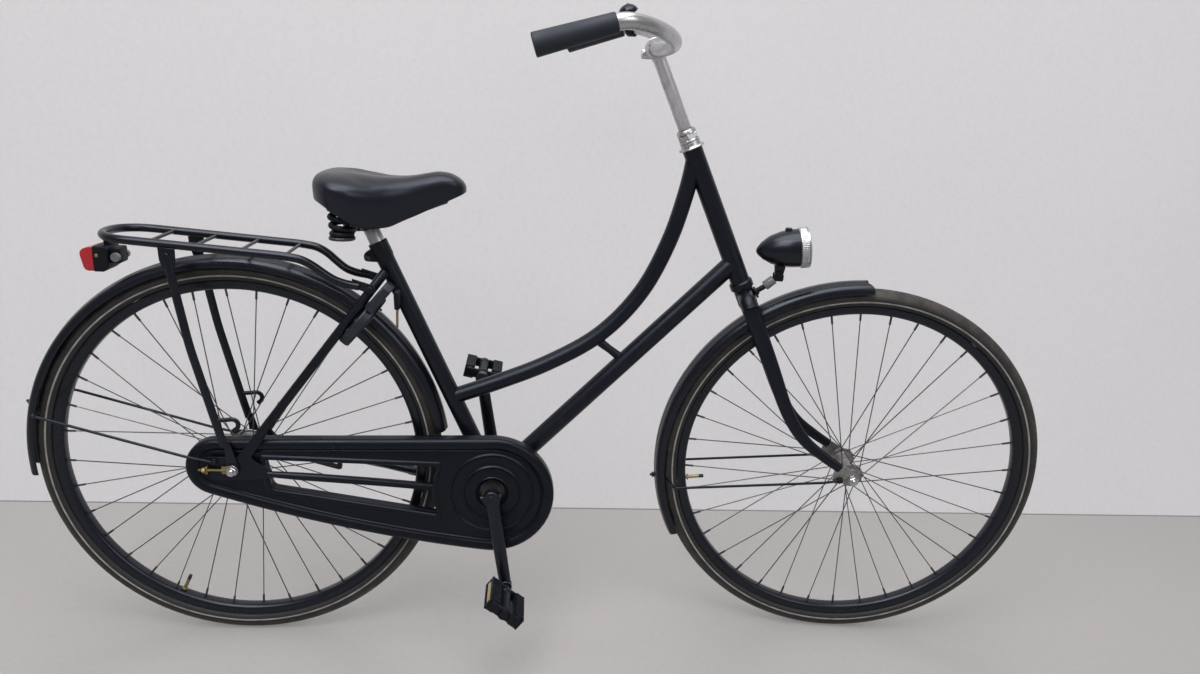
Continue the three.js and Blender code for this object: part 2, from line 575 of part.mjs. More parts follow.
function dropout(side) {
  const d = DROPOUT;
  const z = WHEEL.radius;
  const stayAt = staySeat(SEATSTAY.armLow);
  const chainEnd = chainstayRoute(side)[0];
  const corners = [
    [-d.slotReach, z - d.height], [d.height, z - d.height],
    [chainEnd.x + CHAINSTAY.radius, chainEnd.z - CHAINSTAY.radius],
    [chainEnd.x + CHAINSTAY.radius, chainEnd.z + CHAINSTAY.radius], [d.height + d.armHalf, z + d.height],
    [stayAt.x + d.armHalf, stayAt.z], [stayAt.x - d.armHalf, stayAt.z + d.armHalf],
    [d.armHalf, z + d.height], [-d.slotReach, z + d.height],
  ];
  const [low, high] = side < 0 ? [-DROPOUT_OUT, -DROPOUT_IN] : [DROPOUT_IN, DROPOUT_OUT];
  const slot = box(d.slotReach + OVERRUN, DROPOUT_OUT, d.slotHalf * 2,
    at(-(d.slotReach + OVERRUN) / 2, side * DROPOUT_OUT, z));
  const seat = disc(0, z, d.slotHalf, side, DROPOUT_IN - OVERRUN, DROPOUT_OUT + OVERRUN, d.sides);
  const eyeAt = stayEye(rearAxle, REAR_STAY);
  const eye = disc(eyeAt.x, eyeAt.z, GUARD_STAY.bolt + GAP, side, DROPOUT_IN - OVERRUN,
    DROPOUT_OUT + OVERRUN, GUARD_STAY.sides);
  return cut(plate(corners, low, high), slot, seat, eye);
}

const stayMiddle = (DROPOUT_IN + DROPOUT_OUT) / 2;
const stayTop = seatAt(SEATSTAY.top, SEATSTAY.topFore);
function staySeat(distance, side = right) {
  const run = at(stayTop.x, 0, stayTop.z).sub(rearAxle).normalize();
  return rearAxle.clone().addScaledVector(run, distance).add(at(0, side * stayMiddle, 0));
}
function seatstayRoute(side) {
  const low = staySeat(SEATSTAY.armLow - SEATSTAY.radius, side);
  const bends = SEATSTAY.shares.map((share, i) => {
    const p = rearAxle.clone().lerp(at(stayTop.x, 0, stayTop.z), share);
    return at(p.x, side * SEATSTAY.halves[i], p.z);
  });
  return [low, ...bends];
}
const chainstayRoute = (side) => CHAINSTAY.route.map(([x, y, z]) => at(x, side * y, z));

function rearStays(side) {
  const seatstay = sweep(seatstayRoute(side), SEATSTAY.radius, SEATSTAY.sides, SEATSTAY.steps);
  const chainstay = sweep(chainstayRoute(side), CHAINSTAY.radius, CHAINSTAY.sides, CHAINSTAY.steps);
  return cut(join(dropout(side), seatstay, chainstay), seatSolid(GAP), shellSolid(GAP));
}

add('bottom_bracket_shell', bottomBracketShell(), paint);
add('seat_tube', seatTube(), paint);
add('top_tube', topTube(), paint);
add('down_tube', downTube(), paint);
add('head_tube', headTube(), paint);
add('rear_stays_right', rearStays(right), paint);
add('rear_stays_left', rearStays(left), paint);

// Seat post and its clamp bolt
function seatClampBolt() {
  const b = SEAT_BOLT;
  const inner = SEAT_TUBE.ear + GAP;
  const corners = [
    [0, -inner - b.headLength], [b.head, -inner - b.headLength], [b.head, -inner], [b.radius, -inner],
    [b.radius, inner], [b.head, inner], [b.head, inner + b.nutLength], [0, inner + b.nutLength],
  ];
  return turned(corners, b.sides, seatAt(SEAT_TUBE.top - SEAT_TUBE.earDrop, -SEAT_TUBE.earReach + b.head));
}

function seatpost() {
  const p = SEATPOST;
  const corners = [[0, p.low], [p.radius, p.low], [p.radius, p.shoulder], [p.neck, p.shoulder],
    [p.neck, p.high], [0, p.high]];
  return turnedAlong(corners, p.sides, bracket, seatUp);
}

// Saddle: rails, springs and cushion
function saddleFrame() {
  const c = SADDLE_CLAMP;
  const r = SADDLE_RAIL;
  const heart = at(c.x, 0, c.z);
  const sleeve = bar(seatAt(SEATPOST.shoulder + GAP), seatAt(SEATPOST.high + RUNNING_FIT), c.sleeve,
    c.sides);
  const cross = bar(heart.clone().add(at(0, -c.half, 0)), heart.clone().add(at(0, c.half, 0)), c.radius,
    c.sides);
  const parts = [sleeve, cross];
  for (const side of [right, left]) {
    const route = [
      at(r.noseX, side * r.noseY, r.noseZ), at(r.noseX - r.noseRun, side * r.noseY * 2,
        r.noseZ - r.noseDrop),
      at(c.x + c.radius, side * c.railY, c.z), ...r.bend.map(([x, y, z]) => at(x, side * y, z)),
        at(r.rearX, side * r.rearY, r.rearZ),
    ];
    parts.push(sweep(route, c.rail, r.sides, r.steps));
    const foot = at(r.rearX, side * r.rearY, r.rearZ);
    parts.push(bar(foot, foot.clone().add(at(0, 0, r.plateTop)), r.plate, c.sides));
  }
  parts.push(bar(at(r.noseX, -r.noseY, r.noseZ), at(r.noseX, r.noseY, r.noseZ), c.rail, r.sides));
  const bore = bar(seatAt(SEATPOST.shoulder - OVERRUN), seatAt(SEATPOST.high + c.radius),
    SEATPOST.neck + RUNNING_FIT, SEATPOST.sides);
  return cut(join(...parts), bore);
}

function saddleSpring(side) {
  const w = SADDLE_SPRING;
  const r = SADDLE_RAIL;
  const turns = w.curls + 2 * w.flatTurn;
  const count = Math.round(turns * w.steps);
  const low = r.rearZ + r.plateTop + GAP + w.wire;
  const points = Array.from({ length: count + 1 }, (_, i) => {
    const turn = (i * turns) / count;
    const climbed = Math.min(Math.max(turn - w.flatTurn, 0), w.curls);
    const angle = 2 * Math.PI * turn;
    return at(r.rearX + w.coil * Math.cos(angle), side * (r.rearY + w.coil * Math.sin(angle)),
      low + w.pitch * climbed);
  });
  let least = Infinity;
  points.forEach((p, i) => points.slice(i + w.steps / 2).forEach((q) => {
    least = Math.min(least, p.distanceTo(q) - 2 * w.wire);
  }));
  console.log(`saddle spring: least gap between turns ${least.toFixed(2)} mm`);
  return sweep(points, w.wire, w.sides, count);
}

const shareAt = (table, t) => {
  const next = table.findIndex(([stop]) => stop >= t);
  if (next <= 0) return table[0][1];
  const [[a, low], [b, high]] = [table[next - 1], table[next]];
  const step = (t - a) / (b - a);
  return low + (high - low) * step * step * (3 - 2 * step);
};

// The cushion follows its plan, its top line and its skirt line along X, and a crowned section across.
function saddleLoft(inset, lineTop, lineLow, square, crownPower) {
  const s = SADDLE;
  const positions = [];
  const length = s.nose - s.rear - 2 * inset;
  for (let i = 0; i <= s.along; i += 1) {
    const t = i / s.along;
    const half = (s.width / 2) * shareAt(s.widthShares, t) - inset;
    const top = lineTop(t);
    const low = lineLow(t);
    for (let k = 0; k < s.around; k += 1) {
      const angle = -s.drawIn + ((Math.PI + 2 * s.drawIn) * k) / (s.around - 1);
      const crown = Math.max(Math.sin(angle), 0) ** crownPower;
      const tuck = Math.sin(angle) < 0 ? 1 + Math.sin(angle) * s.tuck : 1;
      const y = half * Math.sign(Math.cos(angle)) * Math.abs(Math.cos(angle)) ** square * tuck;
      const shoulder = top - (top - low) * s.shoulder;
      const z = Math.sin(angle) > 0 ? shoulder + (top - shoulder) * crown
        : shoulder + (shoulder - low) * (Math.sin(angle) / Math.sin(s.drawIn));
      positions.push(s.rear + inset + length * t, y, z);
    }
  }
  return ringed(positions, s.along + 1, s.around);
}

function saddleCover() {
  const s = SADDLE;
  const line = (shares) => (t) => s.skirtLow + (s.high - s.skirtLow) * shareAt(shares, t);
  const outer = saddleLoft(0, line(s.topShares), line(s.skirtShares), s.square, s.crown);
  const ceiling = (t) => s.ceiling + (s.noseCeiling - s.ceiling) * shareAt(s.ceilingShares, t);
  return cut(outer, saddleLoft(s.wall, ceiling, () => s.skirtLow - s.hollowDrop, s.hollowSquare,
    s.hollowCrown));
}

add('seat_clamp_bolt', seatClampBolt(), silver);
add('seatpost', seatpost(), silver);
add('saddle_frame', saddleFrame(), steel);
add('saddle_spring_right', saddleSpring(right), plastic);
add('saddle_spring_left', saddleSpring(left), plastic);
add('saddle_cover', saddleCover(), vinyl);

// Drive: chainring, sprocket, chain and chain case
const pitchRadius = (teeth) => CHAIN.pitch / (2 * Math.sin(Math.PI / teeth));

function toothed(size, centre, parts) {
  const radius = pitchRadius(size.teeth);
  const tip = radius + size.tipShare * CHAIN.pitch;
  const root = radius - size.rootShare * CHAIN.pitch;
  const outline = Array.from({ length: size.teeth * 2 }, (_, i) => {
    const angle = (Math.PI * i) / size.teeth;
    const r = i % 2 ? root : tip;
    return [centre.x + r * Math.cos(angle), centre.z + r * Math.sin(angle)];
  });
  const disk = plate(outline, -CHAIN.line - size.half, -CHAIN.line + size.half);
  return join(disk, ...parts);
}

function chainring() {
  const c = CHAINRING;
  const hub = disc(bracket.x, bracket.z, c.hub, right, CHAIN.line - c.hubHalf, CHAIN.line + c.hubHalf,
    CRANK_AXLE.sides);
  const bore = disc(bracket.x, bracket.z, c.bore, right, 0, CHAIN.line * 2, CRANK_AXLE.sides);
  return cut(toothed(c, bracket, [hub]), bore);
}

function rearSprocket() {
  const s = SPROCKET;
  const hub = disc(0, rearAxle.z, s.hub, right, REAR_HUB.right + GAP, s.hubOut, CRANK_AXLE.sides);
  const bore = disc(0, rearAxle.z, s.bore, right, 0, CHAIN.line * 2, CRANK_AXLE.sides);
  return cut(toothed(s, rearAxle, [hub]), bore);
}

// The belt outline around two circles, grown or shrunk alike, with its lower run bowed down if asked
function belt(rear, front, rearRadius, frontRadius, steps, bow = 0) {
  const run = Math.hypot(front.x - rear.x, front.z - rear.z);
  const slope = THREE.MathUtils.radToDeg(Math.atan2(front.z - rear.z, front.x - rear.x));
  const lean = THREE.MathUtils.radToDeg(Math.asin((frontRadius - rearRadius) / run));
  const bend = THREE.MathUtils.radToDeg(Math.atan2(4 * bow, run));
  const rearSteps = Math.round(steps * CHAIN.rearStepShare);
  const foreEnd = arc(front.x, front.z, frontRadius, slope - 90 - lean + bend, slope + 90 + lean, steps);
  const rearEnd = arc(rear.x, rear.z, rearRadius, slope + 90 + lean, slope + 270 - lean - bend, rearSteps);
  if (!bow) return [...foreEnd, ...rearEnd];
  const [from, to] = [rearEnd[rearEnd.length - 1], foreEnd[0]].map(([x, z]) => new THREE.Vector2(x, z));
  const down = new THREE.Vector2(to.y - from.y, from.x - to.x).normalize();
  const bowed = Array.from({ length: rearSteps - 1 }, (_, i) => {
    const share = (i + 1) / rearSteps;
    return from.clone().lerp(to, share).addScaledVector(down, 4 * bow * share * (1 - share)).toArray();
  });
  return [...foreEnd, ...rearEnd, ...bowed];
}

function chain() {
  const c = CHAIN;
  const around = (grow) => belt(rearAxle, bracket, pitchRadius(SPROCKET.teeth) + grow,
    pitchRadius(CHAINRING.teeth) + grow, c.arcSteps);
  const band = plate(around(c.plate), -c.line - c.half, -c.line + c.half, [around(-c.plate).reverse()]);
  const groove = plate(around(c.slotDepth - c.plate), -c.line - c.slotHalf, -c.line + c.slotHalf);
  return cut(band, groove);
}

const caseRear = rearAxle.clone().add(at(CASE.rearX, 0, -CASE.rearDrop));
const caseFront = bracket.clone().add(at(CASE.frontX, 0, -CASE.frontDrop));
const caseOutline = (shrink) => {
  const [rearRadius, frontRadius] = [CASE.rearRadius - shrink, CASE.frontRadius - shrink];
  return belt(caseRear, caseFront, rearRadius, frontRadius, CASE.arcSteps, CASE.bow);
};
function caseWindow(shrink) {
  const c = CASE;
  return [
    [c.windowRear + shrink, c.windowRearTop - shrink],
    [c.windowRear + c.windowLean + shrink, c.windowRearLow + shrink],
    [c.windowFront + c.windowHollow - shrink, c.windowFrontLow + shrink],
    [c.windowFront - shrink, c.windowMiddle],
    [c.windowFront + c.windowHollow - shrink, c.windowFrontTop - shrink],
  ];
}

function chainCase(yFace, yOpen, holes) {
  const c = CASE;
  const inward = Math.sign(yOpen - yFace);
  const floor = yFace + inward * c.wall;
  const order = (a, b) => [Math.min(a, b), Math.max(a, b)];
  const body = plate(caseOutline(0), ...order(yFace, yOpen), [caseWindow(0).reverse()]);
  const hollow = plate(caseOutline(c.wall), ...order(floor, yOpen + inward * OVERRUN),
    [caseWindow(-c.wall).reverse()]);
  return cut(body, hollow, ...holes);
}

const caseHole = (centre, radius) => disc(centre.x, centre.z, radius, right, 0, CASE.outer * 2,
  CASE.holeSides);
add('chainring', chainring(), steel);
add('rear_sprocket', rearSprocket(), steel);
add('chain', chain(), steel);
add('chain_case_outer', chainCase(-CASE.outer, -CASE.split,
  [caseHole(bracket, CASE.crankHole), caseHole(rearAxle, CASE.axleHole)]), plastic);
add('chain_case_inner', chainCase(-CASE.inner, -CASE.split + GAP,
  [caseHole(bracket, CASE.shellHole), caseHole(rearAxle, CASE.hubHole)]), plastic);

// Cranks and pedals, described with the right crank straight down
const cranks = new THREE.Group();
cranks.position.copy(bracket);
cranks.rotation.y = rad(CRANK_ANGLE);
root.add(cranks);
const origin = at(0, 0, 0);

function crankAxle() {
  const a = CRANK_AXLE;
  const half = [[0, a.end], [a.radius, a.end], [a.radius, a.raceIn + a.raceLength],
    [a.race, a.raceIn + a.raceLength], [a.race, a.raceIn], [a.radius, a.raceIn]];
  return turned([...half.map(([r, y]) => [r, -y]), ...half.slice().reverse()], a.sides, origin);
}

function crank(side) {
  const c = CRANK;
  const z = side * c.length;
  const eye = bar(at(0, side * c.eyeIn, 0), at(0, side * c.eyeOut, 0), c.eye, c.sides);
  const foot = bar(at(0, side * c.pedalIn, z), at(0, side * c.pedalOut, z), c.pedalEye, c.sides);
  const armFrom = at(0, (side * (c.eyeIn + c.eyeOut)) / 2, 0);
  const armTo = at(0, (side * (c.pedalIn + c.pedalOut)) / 2, z);
  const arm = bar(armFrom, armTo, c.arm, c.armSides, { radiusTo: c.armEnd, flat: c.armFlat });
  const spindle = bar(at(0, side * c.pedalOut - side * c.spindleRoot, z),
    at(0, side * (c.pedalOut + PEDAL.spindleReach), z), PEDAL.spindle, c.sides);
  const pinY = (side * (c.eyeIn + c.eyeOut)) / 2;
  const cotter = bar(at(-c.cotterHalf, pinY, c.cotterLift), at(c.cotterHalf, pinY, c.cotterLift), c.cotter,
    c.armSides);
  const bore = bar(at(0, side * (c.eyeIn - OVERRUN), 0), at(0, side * (c.eyeOut - c.cap), 0),
    CRANK_AXLE.radius + GAP, CRANK_AXLE.sides);
  return cut(join(eye, arm, foot, spindle, cotter), bore);
}

function pedal(side) {
  const p = PEDAL;
  const inner = p.clear;
  const outer = p.clear + p.width;
  const reach = (side * (inner + outer)) / 2;
  const treadX = (p.span - p.tread) / 2;
  const treads = [-treadX, treadX].map((x) => box(p.tread, p.width, p.treadHeight, at(x, reach, 0)));
  const plates = [inner + p.plate / 2, outer - p.plate / 2].map((y) =>
    box(p.span - p.tread, p.plate, p.plateHeight, at(0, side * y, 0)));
  const barrel = bar(at(0, side * inner, 0), at(0, side * outer, 0), p.barrel, CRANK.sides);
  const bore = bar(at(0, side * (inner - OVERRUN), 0), at(0, side * (p.spindleReach + RUNNING_FIT), 0),
    p.bore, CRANK.sides);
  return cut(join(barrel, ...treads, ...plates), bore);
}

add('crank_axle', crankAxle(), steel, cranks);
for (const [side, name] of [[right, 'right'], [left, 'left']]) {
  add(`crank_${name}`, crank(side), paint, cranks);
  const pedals = new THREE.Group();
  pedals.position.set(0, side * CRANK.pedalOut, side === right ? -CRANK.length : CRANK.length);
  pedals.rotation.y = rad(PEDAL_ANGLES[name] - CRANK_ANGLE);
  cranks.add(pedals);
  add(`pedal_${name}`, pedal(side), plastic, pedals);
}

// Front end: fork, headset, stem, handlebar, grips and bell
function fork() {
  const f = FORK;
  const parts = [
    bar(headAt(f.crownLow), headAt(steererTop), f.steerer, f.tubeSides),
    bar(headAt(f.crownLow), headAt(f.crownTop), f.crownWide, f.tubeSides),
  ];
  const crownMiddle = (f.crownTop + f.crownLow) / 2;
  const reach = (f.crownTop - f.crownLow) / 2;
  parts.push(bar(headAt(crownMiddle, 0, -f.bladeTop), headAt(crownMiddle, 0, f.bladeTop), reach, f.sides));
  for (const side of [right, left]) {
    const top = headAt(crownMiddle, 0, side * f.bladeTop);
    const knee = headAt(-f.straight, 0, side * f.bladeLowY);
    const tips = f.tipPoints.map(([x, z, y]) => frontAxle.clone().add(at(x, side * y, z)));
    const route = [top, top.clone().lerp(knee, 1 / 2), knee, ...tips];
    const radii = route.map((_, i) => (i < 3 ? f.blade + ((f.bladeLow - f.blade) * i) / 2
      : f.bladeLow + ((f.tip - f.bladeLow) * (i - 2)) / tips.length));
    parts.push(tapered(route, radii, f.bladeDepthShare, f.sides));
    const end = tips[tips.length - 1];
    const corners = [
      [end.x - f.tip, end.z + f.tip], [end.x + f.tip, end.z + f.tip],
      [WHEELBASE + f.tipEye, WHEEL.radius + f.tip],
      [WHEELBASE + f.tipEye, WHEEL.radius - f.tip], [WHEELBASE, WHEEL.radius - f.tipEye],
      [WHEELBASE - f.tipReach, WHEEL.radius - f.tip],
    ];
    const [low, high] = side < 0 ? [-FRONT_AXLE.tipOut, -FRONT_AXLE.tipIn]
      : [FRONT_AXLE.tipIn, FRONT_AXLE.tipOut];
    parts.push(plate(corners, low, high));
  }
  const slot = box(f.slotHalf * 2, DROPOUT_OUT * 2, f.tipEye * 2,
    at(WHEELBASE, 0, WHEEL.radius - f.tipEye));
  const seat = bar(at(WHEELBASE, -DROPOUT_OUT, WHEEL.radius), at(WHEELBASE, DROPOUT_OUT, WHEEL.radius),
    f.slotHalf, f.sides);
  const eyeAt = stayEye(frontAxle, FRONT_STAY);
  const stayHole = bar(eyeAt.clone().add(at(0, -DROPOUT_OUT, 0)), eyeAt.clone().add(at(0, DROPOUT_OUT, 0)),
    GUARD_STAY.bolt + GAP, f.sides);
  const bore = bar(headAt(f.crownLow - OVERRUN), headAt(steererTop + OVERRUN), f.steererBore,
    f.tubeSides);
  return cut(join(...parts), bore, slot, seat, stayHole);
}

// Oval rings along a line that runs mainly in the X-Z plane; flat is the ring's depth along Y as a share.
function tapered(points, radii, flat, sides) {
  const positions = [];
  points.forEach((point, i) => {
    const along = points[Math.min(i + 1, points.length - 1)].clone().sub(points[Math.max(i - 1, 0)]);
    const out = across.clone().cross(along).normalize();
    for (let k = 0; k < sides; k += 1) {
      const angle = (2 * Math.PI * (k + 1 / 2)) / sides;
      const p = point.clone().addScaledVector(out, radii[i] * Math.cos(angle)).addScaledVector(across,
        radii[i] * flat * Math.sin(angle));
      positions.push(p.x, p.y, p.z);
    }
  });
  return ringed(positions, points.length, sides);
}

const headRing = (corners, u) => turnedAlong(corners, FORK.tubeSides, headAt(u), headUp);

function upperCup() {
  const c = UPPER_CUP;
  return headRing([[c.bore, 0], [c.neck, 0], [c.radius, c.height / 2], [c.radius, c.height],
    [c.bore, c.height]], HEAD_TUBE.length + GAP);
}

function locknut() {
  const n = LOCKNUT;
  return headRing([[n.bore, 0], [n.radius, 0], [n.radius, n.height / 2],
    [n.collar, n.height / 2 + n.radius - n.collar], [n.collar, n.height], [n.bore, n.height]],
    HEAD_TUBE.length + UPPER_CUP.height + 2 * GAP);
}

function stem() {
  const t = STEM;
  const centre = headAt(t.high);
  const quill = bar(headAt(t.low), headAt(t.high), t.radius, t.sides);
  const clamp = bar(headAt(t.high, 0, -t.half), headAt(t.high, 0, t.half), t.head, t.sides);
  const ears = box(t.earReach, t.ear * 2, t.earHalf * 2,
    at(centre.x - t.earReach / 2, 0, centre.z - t.head + t.earHalf));
  const bolt = bar(at(centre.x - t.earReach + t.earHalf, -t.boltHalf, centre.z - t.head + t.earHalf),
    at(centre.x - t.earReach + t.earHalf, t.boltHalf, centre.z - t.head + t.earHalf), t.bolt, t.sides);
  const bore = bar(headAt(t.high, 0, -t.half - OVERRUN), headAt(t.high, 0, t.half + OVERRUN), t.bore,
    t.sides);
  return cut(join(quill, clamp, ears, bolt), bore);
}

const barHalf = BAR.path.map(([x, y, z]) => at(x, y, z));
const barRoute = [...mirrored(barHalf).reverse(), at(BAR.path[0][0], 0, BAR.path[0][2]), ...barHalf];

function grip(side) {
  const g = GRIP;
  const [front, end] = [barHalf[barHalf.length - 3],
    barHalf[barHalf.length - 1]].map((p) => at(p.x, side * p.y, p.z));
  const along = end.clone().sub(front).normalize();
  const from = end.clone().addScaledVector(along, g.cap - g.length);
  const to = end.clone().addScaledVector(along, g.cap);
  const body = bar(from, to, g.neck, g.sides, { radiusTo: g.radius });
  return cut(body, sweep(barRoute, BAR.radius + GAP, BAR.sides, BAR.steps));
}

const bellAlong = barHalf[barHalf.length - 3].clone().sub(barHalf[barHalf.length - 4]).normalize();
function bellBase() {
  const b = BELL;
  const centre = at(b.x, b.y, b.z);
  const half = bellAlong.clone().multiplyScalar(b.width / 2);
  const band = bar(centre.clone().sub(half), centre.clone().add(half), b.clamp, b.sides);
  const top = centre.clone().add(at(0, 0, b.rise));
  const post = bar(centre, top, b.post, b.sides);
  const floor = bar(top, top.clone().add(at(0, 0, b.plateHeight)), b.plate, b.sides);
  const cap = turnedAlong(
    [[0, b.plateHeight - GAP], [b.dome, b.plateHeight - GAP],
    [b.dome * b.domeShares[0], b.domeHeight * b.domeShares[1]], [b.dome * b.domeShares[2], b.domeHeight],
    [0, b.domeHeight]],
    b.sides, top, at(0, 0, 1),
  );
  const bore = sweep(barRoute, BAR.radius + GAP, BAR.sides, BAR.steps);
  return cut(join(band, post, floor, cap), bore);
}

// The striker lever turns about the bell's post.
function bellStriker() {
  const b = BELL;
  const pivot = at(b.x, b.y, b.z + b.rise - b.leverDrop);
  const ring = bar(pivot, pivot.clone().add(at(0, 0, b.leverThick)), b.leverRing, b.sides);
  const arm = box(b.lever, b.leverWidth, b.leverThick,
    pivot.clone().add(at(-b.lever / 2 - b.post, 0, b.leverThick / 2)));
  const bore = bar(pivot.clone().add(at(0, 0, -OVERRUN)), pivot.clone().add(at(0, 0, OVERRUN * 2)),
    b.post + RUNNING_FIT, b.sides);
  return cut(join(ring, arm), bore);
}

add('fork', fork(), paint, steering);
add('headset_upper_cup', upperCup(), chrome);
add('headset_locknut', locknut(), chrome, steering);
add('stem', stem(), silver, steering);
add('handlebar', sweep(barRoute, BAR.radius, BAR.sides, BAR.steps), silver, steering);
add('grip_right', grip(right), rubber, steering);
add('grip_left', grip(left), rubber, steering);
add('bell_base', bellBase(), plastic, steering);
add('bell_striker', bellStriker(), plastic, steering);

// Headlamp on its bracket
const lampAlong = at(Math.cos(rad(LAMP.tilt)), 0, Math.sin(rad(LAMP.tilt)));
const lampRear = at(LAMP.rearX, 0, LAMP.rearZ);
const lampAt = (d) => lampRear.clone().addScaledVector(lampAlong, d);
const lampFoot = at(LAMP.footX, 0, LAMP.rearZ - LAMP.footDrop + LAMP.foot);

function lampShell() {
  const l = LAMP;
  const outer = l.profileShares.map(([d, r]) => [r * l.radius, d * l.shellLength]);
  const inner = l.profileShares.map(([d, r]) => [r * (l.radius - l.wall), l.wall * 2 + d * l.shellLength]);
  const shell = turnedAlong([...outer, [0, l.shellLength]], l.sides, lampRear, lampAlong);
  const hollow = turnedAlong([...inner, [0, l.shellLength + l.wall * 2]], l.sides, lampRear, lampAlong);
  const ear = box(l.foot * 2 + l.footHalf, l.footHalf * 2, l.footDrop - l.radius / 2,
    at(l.footX, 0, lampFoot.z + (l.footDrop - l.radius / 2) / 2 - l.foot));
  const knobAt = lampAt(l.shellLength * l.knobShare);
  const knob = bar(knobAt.clone().add(at(0, 0, l.radius - l.wall)),
    knobAt.clone().add(at(0, 0, l.radius + l.knobHeight)), l.knob, l.sides / 2);
  const hole = bar(lampFoot.clone().add(at(0, -l.radius, 0)), lampFoot.clone().add(at(0, l.radius, 0)),
    LAMP_BRACKET.bolt + RUNNING_FIT, l.sides / 2);
  return join(cut(shell, hollow), knob, cut(cut(ear, hole),
    turnedAlong([...outer, [0, l.shellLength]], l.sides, lampRear, lampAlong)));
}

function lampRing() {
  const l = LAMP;
  const corners = [
    [l.ringBore, 0], [l.ring, 0], [l.ring, l.ringLength - l.wall], [l.ring - l.wall, l.ringLength],
    [l.glass - l.wall, l.ringLength], [l.glass - l.wall, l.ringLength - l.wall],
    [l.ringBore, l.ringLength - l.wall],
  ];
  return turnedAlong(corners, l.sides, lampAt(l.shellLength + GAP), lampAlong);
}

function lampLens() {
  const l = LAMP;
  const back = l.ringLength - l.wall - GAP - l.glassThick;
  const corners = [[0, back - l.glassBulge], [l.glass / 2, back - l.glassBulge / 2], [l.glass, back],
    [l.glass, back + l.glassThick], [0, back + l.glassThick]];
  return turnedAlong(corners, l.sides, lampAt(l.shellLength + GAP), lampAlong);
}

function lampBracket() {
  const b = LAMP_BRACKET;
  const crownMiddle = (FORK.crownTop + FORK.crownLow) / 2;
  const face = FORK.crownWide + GAP;
  const tilt = rad(90 - HEAD_ANGLE);
  const foot = box(b.plate, b.plateHalf * 2, b.plateHeight, headAt(crownMiddle, face + b.plate / 2), -tilt);
  const from = headAt(crownMiddle + b.foreFrom, face + b.plate / 2);
  const low = lampFoot.clone().add(at(0, 0, -b.ear - b.foreFrom));
  const arm = bar(from, low, b.arm, b.sides);
  const sleeve = bar(from.clone().lerp(low, b.sleeveFrom), from.clone().lerp(low, b.sleeveTo), b.sleeve,
    b.sides);
  const cheeks = box(b.ear * 2, b.fork * 2, b.ear * 2 + b.foreFrom,
    lampFoot.clone().add(at(0, 0, -b.foreFrom / 2)));
  const gapHalf = LAMP.footHalf + RUNNING_FIT;
  const channel = box(b.ear * 2 + OVERRUN, gapHalf * 2, b.ear * 2 + OVERRUN,
    lampFoot.clone().add(at(0, 0, OVERRUN / 2)));
  const bolt = bar(lampFoot.clone().add(at(0, -b.fork - b.bolt, 0)),
    lampFoot.clone().add(at(0, b.fork + b.bolt, 0)), b.bolt, b.sides);
  const head = bar(lampFoot.clone().add(at(0, -b.fork - b.bolt, 0)),
    lampFoot.clone().add(at(0, -b.fork, 0)), b.boltHead, b.sides);
  return join(foot, arm, sleeve, cut(cheeks, channel), bolt, head);
}

add('headlamp_shell', lampShell(), plastic, steering);
add('headlamp_ring', lampRing(), chrome, steering);
add('headlamp_lens', lampLens(), glass, steering);
add('headlamp_bracket', lampBracket(), plastic, steering);

// Mudguards: a turned shell limited to its arc
function mudguard(centre, [from, to], boltAngle) {
  const g = GUARD;
  const [shoulder, edge, lip] = [g.shoulderDrop, g.edgeDrop, g.lipDrop].map((drop) => guardCrown - drop);
  const outside = [[guardCrown, g.crownHalf], [shoulder, g.shoulderHalf], [edge, g.edgeHalf],
    [lip, g.lipHalf]];
  const inside = [[lip, g.lipHalf - g.thick], [edge - g.thick, g.edgeHalf - g.thick],
    [shoulder - g.thick, g.shoulderHalf - g.thick], [guardCrown - g.thick, g.crownHalf]];
  const half = [...outside, ...inside];
  const mirroredHalf = half.slice().reverse().map(([r, y]) => [r, -y]);
  const shell = turned([...half, ...mirroredHalf], g.sides, centre);
  const corners = [[centre.x, centre.z], ...arc(centre.x, centre.z, guardCrown * g.sectorShare, from, to,
    Math.ceil((to - from) / g.sectorStep))];
  const sector = plate(corners, -g.lipHalf - OVERRUN, g.lipHalf + OVERRUN);
  const out = at(Math.cos(rad(boltAngle)), 0, Math.sin(rad(boltAngle)));
  const hole = bar(centre.clone().addScaledVector(out, edge),
    centre.clone().addScaledVector(out, guardCrown + OVERRUN), GUARD_STAY.boltHole, GUARD_STAY.sides);
  return cut(shell.intersect(sector), hole);
}

const onWheel = (centre, radius, angle, y = 0) =>
  centre.clone().add(at(radius * Math.cos(rad(angle)), y, radius * Math.sin(rad(angle))));

// A wire along straight runs, with rings square to the bends
function wire(points, radius, sides, upright = at(0, 0, 1)) {
  const positions = [];
  points.forEach((point, i) => {
    const along = points[Math.min(i + 1, points.length - 1)].clone().sub(points[Math.max(i - 1,
      0)]).normalize();
    const first = upright.clone().addScaledVector(along, -upright.dot(along)).normalize();
    const second = along.clone().cross(first);
    for (let k = 0; k < sides; k += 1) {
      const angle = (2 * Math.PI * (k + 1 / 2)) / sides;
      const offset = first.clone().multiplyScalar(radius * Math.cos(angle)).addScaledVector(second,
        -radius * Math.sin(angle));
      positions.push(...point.clone().add(offset).toArray());
    }
  });
  return ringed(positions, points.length, sides);
}

